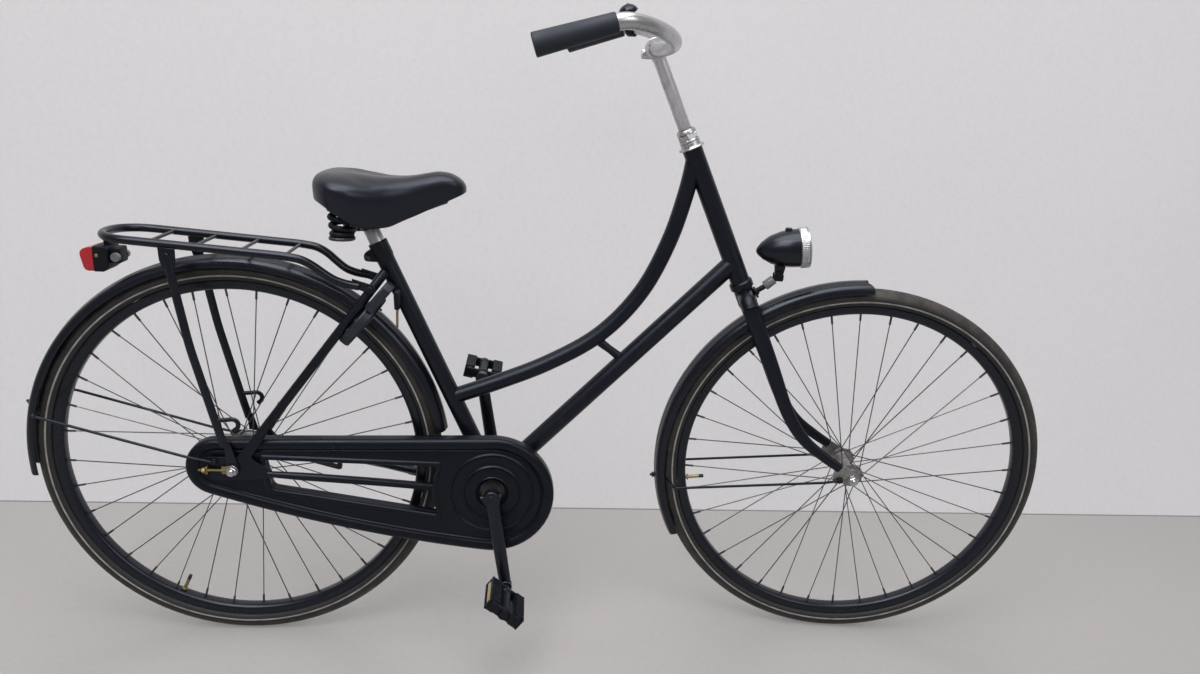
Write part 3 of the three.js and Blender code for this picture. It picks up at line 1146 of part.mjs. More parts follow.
// A wire bent over the wheel inside the mudguard, with an eye at each end and a bolt out through the crown
function guardStay(centre, stay, eyeIn) {
  const g = GUARD_STAY;
  const eye = stayEye(centre, stay);
  const half = [
    ...g.path.map(([drop, y]) => onWheel(centre, guardCrown - drop, stay.angle, y)),
    ...stay.knees.map(([x, z]) => centre.clone().add(at(x, stay.kneeY, z))),
    stayEye(centre, stay, stay.kneeY),
  ];
  half[g.path.length].setY(g.shoulderY);
  const parts = [wire([...mirrored(half.slice(1)).reverse(), ...half], g.radius, g.wireSides)];
  for (const sign of [right, left]) {
    parts.push(disc(eye.x, eye.z, g.eye, sign, eyeIn, eyeIn + g.eyeThick, g.sides));
    parts.push(disc(eye.x, eye.z, g.bolt, sign, eyeIn - g.pinReach, eyeIn + g.eyeThick, g.sides));
  }
  parts.push(bar(onWheel(centre, guardCrown - g.path[0][0], stay.angle),
    onWheel(centre, guardCrown + g.boltReach, stay.angle), g.bolt, g.sides));
  parts.push(bar(onWheel(centre, guardCrown + GAP, stay.angle),
    onWheel(centre, guardCrown + GAP + g.nutLength, stay.angle), g.nut, g.wireSides));
  return join(...parts);
}

add('rear_mudguard', mudguard(rearAxle, REAR_GUARD_ARC, REAR_STAY.angle), paint);
add('rear_mudguard_stay', guardStay(rearAxle, REAR_STAY, footIn), paint);
add('front_mudguard', mudguard(frontAxle, FRONT_GUARD_ARC, FRONT_STAY.angle), paint, steering);
add('front_mudguard_stay', guardStay(frontAxle, FRONT_STAY, FRONT_AXLE.tipOut + GAP), paint, steering);

// Carrier
function carrier() {
  const c = CARRIER;
  const level = (x) => c.level + c.slope * x;
  const cornerX = c.rear + c.corner;
  const bend = c.bendAngles.map((angle) => {
    const x = cornerX - c.corner * Math.sin(rad(angle));
    return at(x, c.half - c.corner + c.corner * Math.cos(rad(angle)), level(x));
  });
  const half = [...bend.reverse(), at(cornerX, c.half, level(cornerX)),
    at(c.frontX, c.half, level(c.frontX)), ...c.front.map(([x, y, z]) => at(x, y, z))];
  const parts = [wire([...mirrored(half).reverse(), ...half], c.rail, c.sides)];
  for (let i = 0; i < c.bars; i += 1) {
    const x = c.frontX - c.barStep * i;
    parts.push(bar(at(x, -c.half, level(x)), at(x, c.half, level(x)), c.barRadius, c.wireSides));
  }
  const holes = [];
  for (const side of [right, left]) {
    const leg = c.leg.map(([x, y, z]) => rearAxle.clone().add(at(x, side * y, z)));
    parts.push(wire(leg, c.legRadius, c.wireSides, at(1, 0, 0)));
    const [low, high] = side < 0 ? [-footIn - FOOT_THICK, -footIn] : [footIn, footIn + FOOT_THICK];
    const end = leg[leg.length - 1];
    const foot = [...arc(0, WHEEL.radius, c.footEye, 180, 360, c.wireSides),
      [c.footEye, WHEEL.radius + c.footHalf], [end.x + c.footHalf, end.z + c.footLap],
      [end.x - c.footHalf, end.z + c.footLap], [-c.footEye, WHEEL.radius + c.footHalf]];
    parts.push(plate(foot, low, high));
    holes.push(disc(0, WHEEL.radius, REAR_AXLE.radius + RUNNING_FIT, side, footIn - OVERRUN,
      footIn + FOOT_THICK + OVERRUN, c.sides));
    parts.push(wire(c.hook.map(([x, z]) => rearAxle.clone().add(at(x, end.y, z))), c.hookRadius,
      c.wireSides));
    const [tabLow, tabHigh] = side < 0 ? [-c.tabOut, -c.tabIn] : [c.tabIn, c.tabOut];
    parts.push(plate(c.tab, tabLow, tabHigh));
    parts.push(disc(c.tabBolt[0], c.tabBolt[1], c.boltHead, side, c.tabOut, c.tabOut + c.boltThick,
      c.wireSides));
  }
  return cut(join(...parts), ...holes);
}

// Tail lamp under the carrier's rear bar
function tailLampHousing() {
  const t = TAIL_LAMP;
  const body = plate([[t.front, t.top], [t.rear, t.top], [t.rear, t.low], [t.front - t.slope, t.low],
    [t.front, t.low + t.slope]], -t.half, t.half);
  const hangerTop = CARRIER.level + CARRIER.slope * CARRIER.rear - CARRIER.rail - GAP;
  const hanger = box(t.hanger, t.hanger * 2, hangerTop - t.top + t.wall,
    at(CARRIER.rear, 0, (hangerTop + t.top - t.wall) / 2));
  return join(body, hanger);
}

function tailLampLens() {
  const t = TAIL_LAMP;
  const edge = t.rear - GAP;
  return plate([[edge, t.top - t.wall], [t.lens, t.top - t.slope], [t.lens + t.wall, t.low + t.wall],
    [edge, t.low + t.wall]], -t.half + t.wall, t.half - t.wall);
}

add('carrier', carrier(), paint);
add('tail_lamp_housing', tailLampHousing(), plastic);
add('tail_lamp_lens', tailLampLens(), red);

// Ring lock, described with the ring in its own X-Z plane: X to the rider's left, Z away from the axle
const lock = new THREE.Group();
const lockOut = at(Math.cos(rad(LOCK.angle)), 0, Math.sin(rad(LOCK.angle)));
lock.applyMatrix4(new THREE.Matrix4().makeBasis(across, lockOut.clone().cross(across),
  lockOut).setPosition(rearAxle.clone().addScaledVector(lockOut, WHEEL.radius - LOCK.ringDrop)));
root.add(lock);
const toLock = (p) => p.clone().applyMatrix4(lock.matrix.clone().invert());
const lockRing = (inner, outer, from, to, steps) =>
  [...arc(0, 0, outer, from, to, steps), ...arc(0, 0, inner, from, to, steps).reverse()];

function lockBody() {
  const l = LOCK;
  const shell = plate(lockRing(l.inner, l.outer, l.mouth - 90, 270 - l.mouth, l.steps), -l.half, l.half);
  const block = box(l.blockOut - l.blockIn, l.blockBack + l.blockFront, l.blockHigh - l.blockLow,
    at(-(l.blockOut + l.blockIn) / 2, (l.blockBack - l.blockFront) / 2, (l.blockHigh + l.blockLow) / 2));
  const groove = plate(lockRing(l.boltRing - l.groove, l.boltRing + l.groove, l.grooveFrom, l.grooveTo,
    l.steps), -l.half - OVERRUN, l.grooveFloor);
  const pin = bar(toLock(at(KEY.x - KEY.pinLength, KEY.y, KEY.z)),
    toLock(at(KEY.x + KEY.headThick, KEY.y, KEY.z)), KEY.pin, GUARD_STAY.wireSides);
  const stays = [right, left].map((side) =>
    wire(seatstayRoute(side).map(toLock), SEATSTAY.radius + RUNNING_FIT, SEATSTAY.sides, at(1, 0, 0)));
  return cut(join(cut(shell, groove), block, pin), ...stays);
}

function lockBolt() {
  const l = LOCK;
  const points = arc(0, 0, l.boltRing, l.boltFrom, l.boltFrom + l.boltArc,
    l.steps).map(([x, z]) => at(x, 0, z));
  const [x, z] = arc(0, 0, l.boltRing, l.knobAngle, l.knobAngle, 1)[0];
  const knob = bar(at(x, 0, z), at(x, -l.knobOut, z), l.knob, l.steps);
  return join(tapered(points, points.map(() => l.bolt), 1, GUARD_STAY.sides), knob);
}

function lockKey() {
  const k = KEY;
  const bow = bar(at(k.x - k.headThick / 2, k.y, k.z + k.hang),
    at(k.x + k.headThick / 2, k.y, k.z + k.hang), k.head, GUARD_STAY.sides);
  const blade = box(k.bladeThick, k.blade * 2, k.bladeLength + k.head,
    at(k.x, k.y, k.z + k.hang - (k.bladeLength + k.head) / 2));
  const hole = bar(at(k.x - k.head, k.y, k.z), at(k.x + k.head, k.y, k.z), k.hole, GUARD_STAY.sides);
  return cut(join(bow, blade), hole);
}

add('ring_lock_body', lockBody(), plastic, lock);
add('ring_lock_bolt', lockBolt(), steel, lock);
add('ring_lock_key', lockKey(), silver);

// Coaster brake arm and chain tensioner
function brakeArm() {
  const b = BRAKE_ARM;
  const eye = disc(0, rearAxle.z, b.hub, left, b.in, b.in + b.thick, CRANK.sides);
  const run = at(b.clipX, 0, b.clipZ).sub(rearAxle);
  const normal = at(-run.z, 0, run.x).normalize().multiplyScalar(b.width / 2);
  const ends = [rearAxle.clone(), at(b.clipX, 0, b.clipZ)];
  const strip = plate([ends[0].clone().sub(normal), ends[1].clone().sub(normal),
    ends[1].clone().add(normal), ends[0].clone().add(normal)].map((p) => [p.x, p.z]), b.in, b.in + b.thick);
  const stay = new THREE.CatmullRomCurve3(chainstayRoute(left), false, 'centripetal');
  const [from, to] = b.clipShares.map((share) => stay.getPointAt(share));
  const middle = from.clone().lerp(to, 1 / 2);
  const band = bar(from, to, b.clip, CRANK.sides);
  const tab = box(b.width, b.thick, middle.z - b.clipZ,
    at(b.clipX, b.in + b.thick / 2, (middle.z + b.clipZ) / 2));
  const bore = bar(rearAxle, rearAxle.clone().add(at(0, DROPOUT_OUT, 0)), REAR_AXLE.cone + RUNNING_FIT,
    CRANK.sides);
  const stayBore = sweep(chainstayRoute(left), CHAINSTAY.radius + RUNNING_FIT, CHAINSTAY.sides,
    CHAINSTAY.steps);
  return cut(join(eye, strip, tab, band), bore, stayBore);
}

function tensioner() {
  const t = TENSIONER;
  const eyeIn = footIn + FOOT_THICK + GAP;
  const ring = disc(0, rearAxle.z, t.eye, right, eyeIn, eyeIn + t.thick, CRANK.sides);
  const strap = plate([[-t.strap, rearAxle.z - t.strapHalf], [0, rearAxle.z - t.strapHalf],
    [0, rearAxle.z + t.strapHalf], [-t.strap, rearAxle.z + t.strapHalf]], -eyeIn - t.thick, -eyeIn);
  const rodY = -eyeIn - t.rod - GAP / 2;
  const rod = bar(at(-t.eye - GAP, rodY, rearAxle.z), at(-t.reach, rodY, rearAxle.z), t.rod, t.sides);
  const capIn = -DROPOUT.slotReach - GAP;
  const cap = box(t.cap, t.reachOut - DROPOUT_IN - GAP, t.strapHalf * 2,
    at(capIn - t.cap / 2, -(t.reachOut + DROPOUT_IN + GAP) / 2, rearAxle.z));
  const nut = bar(at(capIn - t.cap, rodY, rearAxle.z), at(capIn - t.cap - t.nutLength, rodY, rearAxle.z),
    t.nut, t.sides);
  const bore = disc(0, rearAxle.z, REAR_AXLE.radius + RUNNING_FIT, right, eyeIn - OVERRUN,
    eyeIn + t.thick + OVERRUN, t.sides);
  return cut(join(ring, strap, rod, cap, nut), bore);
}

add('coaster_brake_arm', brakeArm(), steel);
add('chain_tensioner_right', tensioner(), brass);

export default root;
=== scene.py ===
import math
from contextlib import contextmanager

import bpy
from mathutils import Matrix, Vector


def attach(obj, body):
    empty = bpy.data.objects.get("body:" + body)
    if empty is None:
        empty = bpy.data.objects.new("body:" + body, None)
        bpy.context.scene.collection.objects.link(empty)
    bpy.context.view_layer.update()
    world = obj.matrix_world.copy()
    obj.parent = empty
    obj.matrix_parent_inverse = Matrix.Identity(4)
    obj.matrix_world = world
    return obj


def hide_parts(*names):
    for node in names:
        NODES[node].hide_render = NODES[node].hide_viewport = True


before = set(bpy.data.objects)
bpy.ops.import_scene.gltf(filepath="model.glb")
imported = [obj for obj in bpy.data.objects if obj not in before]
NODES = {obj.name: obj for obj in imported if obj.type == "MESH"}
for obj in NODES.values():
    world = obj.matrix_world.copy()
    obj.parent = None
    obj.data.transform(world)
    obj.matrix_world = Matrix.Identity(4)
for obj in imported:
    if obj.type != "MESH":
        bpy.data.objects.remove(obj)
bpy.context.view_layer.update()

bl_info = {
    "name": "Dutch city bike",
    "version": (1, 0, 0),
    "blender": (4, 5, 0),
    "location": "View3D > Sidebar > City bike",
    "description": "Dresses the packed city bike with detailed pieces and materials",
    "category": "Object",
}

MM = 0.001
X = Vector((1, 0, 0))
Y = Vector((0, 1, 0))
Z = Vector((0, 0, 1))
ORIGIN = Vector((0, 0, 0))
NO_TURN = Matrix.Identity(4)
FULL_TURN = 2 * math.pi

# The same places as the CAD part, in millimetres, and its angles, written in degrees
WHEEL_RADIUS = 348
REAR_AXLE = Vector((0, 0, WHEEL_RADIUS))
FRONT_AXLE = Vector((1100, 0, WHEEL_RADIUS))
BRACKET = Vector((440, 0, 306))
HEAD_LOW = Vector((863, 0, 695))
TUBE_ANGLE = math.radians(65)
TUBE_UP = Vector((-math.cos(TUBE_ANGLE), 0, math.sin(TUBE_ANGLE)))
TUBE_FORE = Vector((math.sin(TUBE_ANGLE), 0, math.cos(TUBE_ANGLE)))
STEER_TURN = math.radians(-7)
CRANK_TURN = math.radians(-9.6)
PEDAL_TURNS = {"right": math.radians(38), "left": math.radians(12)}
SIDES = {"right": -1, "left": 1}


def seat_at(distance, fore=0):
    """A place along the seat tube's line from the bottom bracket, and forward of it."""
    return BRACKET + TUBE_UP * distance + TUBE_FORE * fore


def head_at(distance, fore=0, y=0):
    """A place along the steering line from the head tube's low end."""
    return HEAD_LOW + TUBE_UP * distance + TUBE_FORE * fore + Y * y


def about(point, turn):
    """A turn in place about a point given in millimetres."""
    place = Matrix.Translation(point * MM)
    return place @ turn @ place.inverted()


STEERED = about(HEAD_LOW, Matrix.Rotation(STEER_TURN, 4, TUBE_UP))
CRANKED = Matrix.Translation(BRACKET * MM) @ Matrix.Rotation(CRANK_TURN, 4, "Y")
LOCK_OUT = Vector((math.cos(math.radians(50.5)), 0, math.sin(math.radians(50.5))))
LOCKED = Matrix.Translation((REAR_AXLE + LOCK_OUT * 328) * MM) @ Matrix(
    (Y, LOCK_OUT.cross(Y), LOCK_OUT)
).transposed().to_4x4()


# Shaping

MERGE_GAP = 0.01


def fresh():
    """Object mode with nothing selected."""
    if bpy.context.mode != "OBJECT":
        bpy.ops.object.mode_set(mode="OBJECT")
    bpy.ops.object.select_all(action="DESELECT")


def pick(piece):
    fresh()
    piece.select_set(True)
    bpy.context.view_layer.objects.active = piece


@contextmanager
def editing(piece):
    """Edit mode with the piece's whole mesh selected, and object mode again at the end."""
    pick(piece)
    bpy.ops.object.mode_set(mode="EDIT")
    bpy.ops.mesh.select_all(action="SELECT")
    yield
    bpy.ops.object.mode_set(mode="OBJECT")


def sew(gap):
    """Merges points within a gap in millimetres and turns every face outwards."""
    bpy.ops.mesh.select_all(action="SELECT")
    bpy.ops.mesh.remove_doubles(threshold=gap * MM)
    bpy.ops.mesh.normals_make_consistent(inside=False)


def to_mesh(piece):
    pick(piece)
    bpy.ops.object.convert(target="MESH")
    bpy.ops.object.transform_apply(location=True, rotation=True, scale=True)
    return bpy.context.object


def eased(stops, count):
    """Points on a smooth line through the stops, a few for each stretch between them."""
    stops = [Vector(stop) for stop in stops]
    ends = [stops[0] * 2 - stops[1], *stops, stops[-1] * 2 - stops[-2]]
    points = []
    for before, start, end, after in zip(ends, ends[1:], ends[2:], ends[3:]):
        knots = [0]
        for a, b in ((before, start), (start, end), (end, after)):
            knots.append(knots[-1] + math.sqrt((b - a).length))
        t0, t1, t2, t3 = knots
        for step in range(count):
            t = t1 + (t2 - t1) * step / count
            a1 = before.lerp(start, (t - t0) / (t1 - t0))
            a2 = start.lerp(end, (t - t1) / (t2 - t1))
            a3 = end.lerp(after, (t - t2) / (t3 - t2))
            b1 = a1.lerp(a2, (t - t0) / (t2 - t0))
            b2 = a2.lerp(a3, (t - t1) / (t3 - t1))
            points.append(b1.lerp(b2, (t - t1) / (t2 - t1)))
    return [*points, stops[-1]]


def bent(stops, radius, count=6):
    """A line of straight runs whose corners are rounded by about the radius."""
    stops = [Vector(stop) for stop in stops]
    points = [stops[0]]
    for before, corner, after in zip(stops, stops[1:], stops[2:]):
        back = before - corner
        on = after - corner
        reach = min(radius, back.length * 0.45, on.length * 0.45)
        start = corner + back.normalized() * reach
        end = corner + on.normalized() * reach
        for step in range(count + 1):
            t = step / count
            points.append(start.lerp(corner, t).lerp(corner.lerp(end, t), t))
    return [*points, stops[-1]]


def drawn(name, lines, closed=False, widths=None):
    """A curve whose straight-sided lines pass through points in millimetres."""
    fresh()
    bpy.ops.curve.primitive_nurbs_path_add()
    piece = bpy.context.object
    piece.name = name
    piece.data.splines.clear()
    for line in lines:
        spline = piece.data.splines.new("POLY")
        spline.points.add(len(line) - 1)
        for index, (knot, place) in enumerate(zip(spline.points, line)):
            knot.co = (*(Vector(place) * MM), 1)
            knot.radius = widths[index] if widths else 1
        spline.use_cyclic_u = closed
    return piece


def built(name, points, faces):
    """A mesh piece from its points, in metres, and its faces."""
    mesh = bpy.data.meshes.new(name)
    mesh.from_pydata(points, [], faces)
    piece = bpy.data.objects.new(name, mesh)
    bpy.context.scene.collection.objects.link(piece)
    return piece


def tube(name, route, radius, radii=None, flat=1, rounds=4):
    """A round bar along a route; flat squeezes its section along Y."""
    route = [Vector((p[0], p[1] / flat, p[2])) for p in route]
    widths = [r / radius for r in radii] if radii else None
    piece = drawn(name, [route], widths=widths)
    piece.data.bevel_depth = radius * MM
    piece.data.bevel_resolution = rounds
    piece.data.use_fill_caps = True
    piece.data.twist_mode = "MINIMUM"
    piece = to_mesh(piece)
    if flat != 1:
        with editing(piece):
            bpy.ops.transform.resize(value=(1, flat, 1), center_override=ORIGIN)
    return piece


def turned(name, profile, centre, axis=Y, steps=48, closed=True):
    """A profile of (radius, distance along the axis) turned about a line."""
    axis = Vector(axis).normalized()
    aside = (axis.cross(X) if abs(axis.x) < 0.9 else axis.cross(Z)).normalized()
    points = [Vector(centre) + aside * r + axis * d for r, d in profile]
    piece = to_mesh(drawn(name, [points], closed))
    with editing(piece):
        bpy.ops.mesh.spin(
            steps=steps, angle=FULL_TURN, center=Vector(centre) * MM, axis=axis, use_auto_merge=True
        )
        sew(MERGE_GAP)
    return piece


def plate(name, outline, low, high, holes=(), edge=0.6, rounds=1):
    """A plate in the X-Z plane between two Y values, with its edges rounded over."""
    lines = [[(x, z, 0) for x, z in line] for line in (outline, *holes)]
    piece = drawn(name, lines, closed=True)
    piece.data.dimensions = "2D"
    piece.data.fill_mode = "BOTH"
    piece.data.extrude = ((high - low) / 2 - edge) * MM
    piece.data.bevel_depth = edge * MM
    piece.data.bevel_resolution = rounds
    piece.data.offset = -edge * MM
    piece.rotation_euler = (math.pi / 2, 0, 0)
    piece.location = (0, (low + high) / 2 * MM, 0)
    return to_mesh(piece)


def block(name, size, centre, edge=1, turn=0):
    """A box with rounded edges, turned about Y."""
    fresh()
    bpy.ops.mesh.primitive_cube_add(size=1, location=Vector(centre) * MM, rotation=(0, turn, 0))
    piece = bpy.context.object
    piece.name = name
    piece.scale = Vector(size) * MM
    bpy.ops.object.transform_apply(location=True, rotation=True, scale=True)
    with editing(piece):
        bpy.ops.mesh.bevel(offset=edge * MM, segments=3, affect="EDGES")
    return piece


def rod(name, start, end, radius, edge=0.5, steps=24):
    """A straight round bar whose end edges are eased."""
    start = Vector(start)
    run = Vector(end) - start
    profile = [
        (0, 0), (radius - edge, 0), (radius, edge),
        (radius, run.length - edge), (radius - edge, run.length), (0, run.length),
    ]
    return turned(name, profile, start, axis=run, steps=steps, closed=False)


def hexagon(name, start, end, radius):
    """A hexagonal nut or bolt head with its corners chamfered."""
    start = Vector(start)
    run = Vector(end) - start
    low = radius * 0.86
    profile = [
        (0, 0), (low, 0), (radius, radius * 0.12), (radius, run.length - radius * 0.12), (low, run.length),
        (0, run.length),
    ]
    return turned(name, profile, start, axis=run, steps=6, closed=False)


def joined(name, pieces):
    fresh()
    for piece in pieces:
        piece.select_set(True)
    bpy.context.view_layer.objects.active = pieces[0]
    if len(pieces) > 1:
        bpy.ops.object.join()
    piece = bpy.context.object
    piece.name = name
    piece.data.name = name
    return piece


def copied(piece, name, matrix):
    """A copy with its own mesh, moved by a matrix."""
    pick(piece)
    bpy.ops.object.duplicate(linked=False)
    twin = bpy.context.object
    twin.name = name
    twin.matrix_world = matrix @ twin.matrix_world
    bpy.ops.object.transform_apply(location=True, rotation=True, scale=True)
    if matrix.determinant() < 0:
        with editing(twin):
            bpy.ops.mesh.flip_normals()
    return twin


def mirrored(piece, name):
    return copied(piece, name, Matrix.Scale(-1, 4, Y))


def modified(piece, kind, **settings):
    """A modifier with these settings, applied."""
    pick(piece)
    modifier = piece.modifiers.new(kind.title(), kind)
    for key, value in settings.items():
        setattr(modifier, key, value)
    bpy.ops.object.modifier_apply(modifier=modifier.name)


def coated(piece, finish):
    piece.data.materials.clear()
    piece.data.materials.append(bpy.data.materials[finish])


def fitted(piece, name, body, finish, nodes=(), place=NO_TURN, angle=35):
    """A finished piece in its place, riding on its body and standing for its CAD nodes."""
    piece.name = name
    piece.data.name = name
    if place != NO_TURN:
        piece.matrix_world = place @ piece.matrix_world
    pick(piece)
    bpy.ops.object.transform_apply(location=True, rotation=True, scale=True)
    bpy.ops.object.shade_smooth_by_angle(angle=math.radians(angle))
    coated(piece, finish)
    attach(piece, body)
    if nodes:
        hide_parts(*nodes)


def dressed(piece, node_name, body, finish, place=NO_TURN, angle=35):
    """A fitted piece that stands for one CAD node and is named after it."""
    fitted(piece, f"{node_name}_dressed", body, finish, [node_name], place, angle)


# Shared material groups


def group(name, inputs, outputs):
    """A new shader node group with these sockets, and its nodes ready to link."""
    made = bpy.data.node_groups.new(name, "ShaderNodeTree")
    for label, kind, value in inputs:
        socket = made.interface.new_socket(name=label, in_out="INPUT", socket_type=f"NodeSocket{kind}")
        if value is not None:
            socket.default_value = value
    for label, kind in outputs:
        made.interface.new_socket(name=label, in_out="OUTPUT", socket_type=f"NodeSocket{kind}")
    return made, made.nodes.new("NodeGroupInput"), made.nodes.new("NodeGroupOutput")


def node(tree, kind, links=None, **settings):
    """A node whose inputs take values or other nodes' outputs."""
    made = tree.nodes.new(f"ShaderNode{kind}")
    for key, value in settings.items():
        setattr(made, key, value)
    for key, value in (links or {}).items():
        if isinstance(value, bpy.types.NodeSocket):
            tree.links.new(value, made.inputs[key])
        else:
            made.inputs[key].default_value = value
    return made


def worked(tree, operation, *values, clamp=False):
    """What a Math node makes of these values or sockets."""
    made = node(tree, "Math", dict(enumerate(values)), operation=operation, use_clamp=clamp)
    return made.outputs[0]


def ramp(tree, factor, low, high, start=0.0, end=1.0):
    """A value that runs from low to high as the factor runs from start to end."""
    made = node(tree, "MapRange", {
        "Value": factor, "From Min": start, "From Max": end, "To Min": low, "To Max": high,
    })
    return made.outputs["Result"]


def mixed(tree, factor, first, second):
    """A colour between two others; the node's colour sockets share their names with its number sockets."""
    made = node(tree, "Mix", {0: factor, 6: first, 7: second}, data_type="RGBA")
    return made.outputs[2]


def put_out(tree, out, **sockets):
    """Links sockets to a group's outputs of the same names."""
    for name, socket in sockets.items():
        tree.links.new(socket, out.inputs[name])


def coat_group():
    """Brushed-on enamel: slow waves in the surface, fine orange peel and dust on what faces up."""
    tree, given, out = group(
        "enamel surface",
        [
            ("Colour", "Color", (0.01, 0.01, 0.01, 1)), ("Worn Colour", "Color", (0.1, 0.1, 0.1, 1)),
            ("Dust Colour", "Color", (0.3, 0.29, 0.27, 1)), ("Dust", "Float", 0.1), ("Wear", "Float", 0.2),
            ("Roughness", "Float", 0.35), ("Grain Size", "Float", 900.0),
        ],
        [("Colour", "Color"), ("Roughness", "Float"), ("Height", "Float")],
    )
    where = node(tree, "TexCoord").outputs["Object"]
    grain = node(tree, "TexNoise", {"Vector": where, "Scale": given.outputs["Grain Size"], "Detail": 3.0})
    patch = node(tree, "TexNoise", {"Vector": where, "Scale": 9.0, "Detail": 6.0, "Roughness": 0.65})
    scuff = node(tree, "TexNoise", {"Vector": where, "Scale": 55.0, "Detail": 8.0, "Roughness": 0.75})
    shape = node(tree, "NewGeometry")
    edge = ramp(tree, shape.outputs["Pointiness"], 0.0, 1.0, 0.53, 0.64)
    broken = ramp(tree, scuff.outputs["Fac"], 0.0, 1.0, 0.48, 0.62)
    worn = worked(tree, "MULTIPLY", edge, broken, clamp=True)
    worn = worked(tree, "MULTIPLY", worn, given.outputs["Wear"], clamp=True)
    facing = node(tree, "SeparateXYZ", {"Vector": shape.outputs["Normal"]})
    up = ramp(tree, facing.outputs["Z"], 0.0, 1.0, 0.35, 1.0)
    lying = worked(tree, "MULTIPLY", up, ramp(tree, patch.outputs["Fac"], 0.2, 1.0, 0.35, 0.65))
    dusty = worked(tree, "MULTIPLY", lying, given.outputs["Dust"], clamp=True)
    base = mixed(tree, worn, given.outputs["Colour"], given.outputs["Worn Colour"])
    final = mixed(tree, dusty, base, given.outputs["Dust Colour"])
    rough = worked(
        tree, "ADD", given.outputs["Roughness"], ramp(tree, patch.outputs["Fac"], -0.05, 0.09, 0.3, 0.7),
    )
    rough = worked(tree, "ADD", rough, dusty, clamp=True)
    waves = worked(tree, "MULTIPLY", patch.outputs["Fac"], 2.0)
    height = worked(tree, "ADD", grain.outputs["Fac"], waves)
    put_out(tree, out, Colour=final, Roughness=rough, Height=height)


def metal_group():
    """Bare metal: fine drawn lines along Z, with pits, grey bloom and dirt."""
    tree, given, out = group(
        "bare metal surface",
        [
            ("Colour", "Color", (0.5, 0.5, 0.5, 1)), ("Tarnish", "Color", (0.2, 0.19, 0.18, 1)),
            ("Age", "Float", 0.4), ("Roughness", "Float", 0.3), ("Line Size", "Float", 500.0),
        ],
        [("Colour", "Color"), ("Roughness", "Float"), ("Height", "Float")],
    )
    where = node(tree, "TexCoord").outputs["Object"]
    line = node(tree, "Mapping", {"Vector": where, "Scale": (1.0, 1.0, 0.08)})
    brushed = node(
        tree, "TexNoise", {"Vector": line.outputs[0], "Scale": given.outputs["Line Size"], "Detail": 4.0},
    )
    bloom = node(tree, "TexNoise", {"Vector": where, "Scale": 38.0, "Detail": 9.0, "Roughness": 0.7})
    pits = node(tree, "TexVoronoi", {"Vector": where, "Scale": 420.0})
    old = ramp(tree, bloom.outputs["Fac"], 0.0, 1.0, 0.42, 0.7)
    old = worked(tree, "MULTIPLY", old, given.outputs["Age"], clamp=True)
    spotted = worked(tree, "MULTIPLY", ramp(tree, pits.outputs["Distance"], 1.0, 0.0, 0.02, 0.22), old)
    base = mixed(tree, old, given.outputs["Colour"], given.outputs["Tarnish"])
    rough = worked(
        tree, "ADD", given.outputs["Roughness"], ramp(tree, brushed.outputs["Fac"], -0.06, 0.1, 0.3, 0.7),
    )
    rough = worked(tree, "ADD", rough, ramp(tree, old, 0.0, 0.3), clamp=True)
    height = worked(tree, "SUBTRACT", brushed.outputs["Fac"], spotted)
    put_out(tree, out, Colour=base, Roughness=rough, Height=height)


def moulded_group():
    """Moulded plastic, rubber or vinyl: a pebbled grain, scuffs and a little dust."""
    tree, given, out = group(
        "moulded surface",
        [
            ("Colour", "Color", (0.02, 0.02, 0.02, 1)), ("Scuff Colour", "Color", (0.12, 0.12, 0.12, 1)),
            ("Scuffs", "Float", 0.3), ("Roughness", "Float", 0.5), ("Grain Size", "Float", 1500.0),
            ("Dust", "Float", 0.08),
        ],
        [("Colour", "Color"), ("Roughness", "Float"), ("Height", "Float")],
    )
    where = node(tree, "TexCoord").outputs["Object"]
    grain = node(
        tree, "TexVoronoi", {"Vector": where, "Scale": given.outputs["Grain Size"]}, feature="SMOOTH_F1",
    )
    mottle = node(tree, "TexNoise", {"Vector": where, "Scale": 14.0, "Detail": 7.0, "Roughness": 0.6})
    streak = node(tree, "Mapping", {"Vector": where, "Scale": (1.0, 3.0, 6.0), "Rotation": (0.3, 0.5, 0.2)})
    scuff = node(
        tree, "TexNoise", {"Vector": streak.outputs[0], "Scale": 60.0, "Detail": 10.0, "Roughness": 0.8},
    )
    rubbed = worked(
        tree, "MULTIPLY", ramp(tree, scuff.outputs["Fac"], 0.0, 1.0, 0.58, 0.75), given.outputs["Scuffs"],
    )
    shape = node(tree, "NewGeometry")
    facing = node(tree, "SeparateXYZ", {"Vector": shape.outputs["Normal"]})
    up = ramp(tree, facing.outputs["Z"], 0.0, 1.0, 0.3, 1.0)
    lying = worked(tree, "MULTIPLY", up, ramp(tree, mottle.outputs["Fac"], 0.3, 1.0, 0.35, 0.65))
    dusty = worked(tree, "MULTIPLY", lying, given.outputs["Dust"])
    pale = worked(tree, "ADD", rubbed, dusty, clamp=True)
    base = mixed(tree, pale, given.outputs["Colour"], given.outputs["Scuff Colour"])
    rough = worked(
        tree, "ADD", given.outputs["Roughness"], ramp(tree, mottle.outputs["Fac"], -0.07, 0.1, 0.3, 0.7),
    )
    rough = worked(tree, "ADD", rough, pale, clamp=True)
    put_out(tree, out, Colour=base, Roughness=rough, Height=grain.outputs["Distance"])


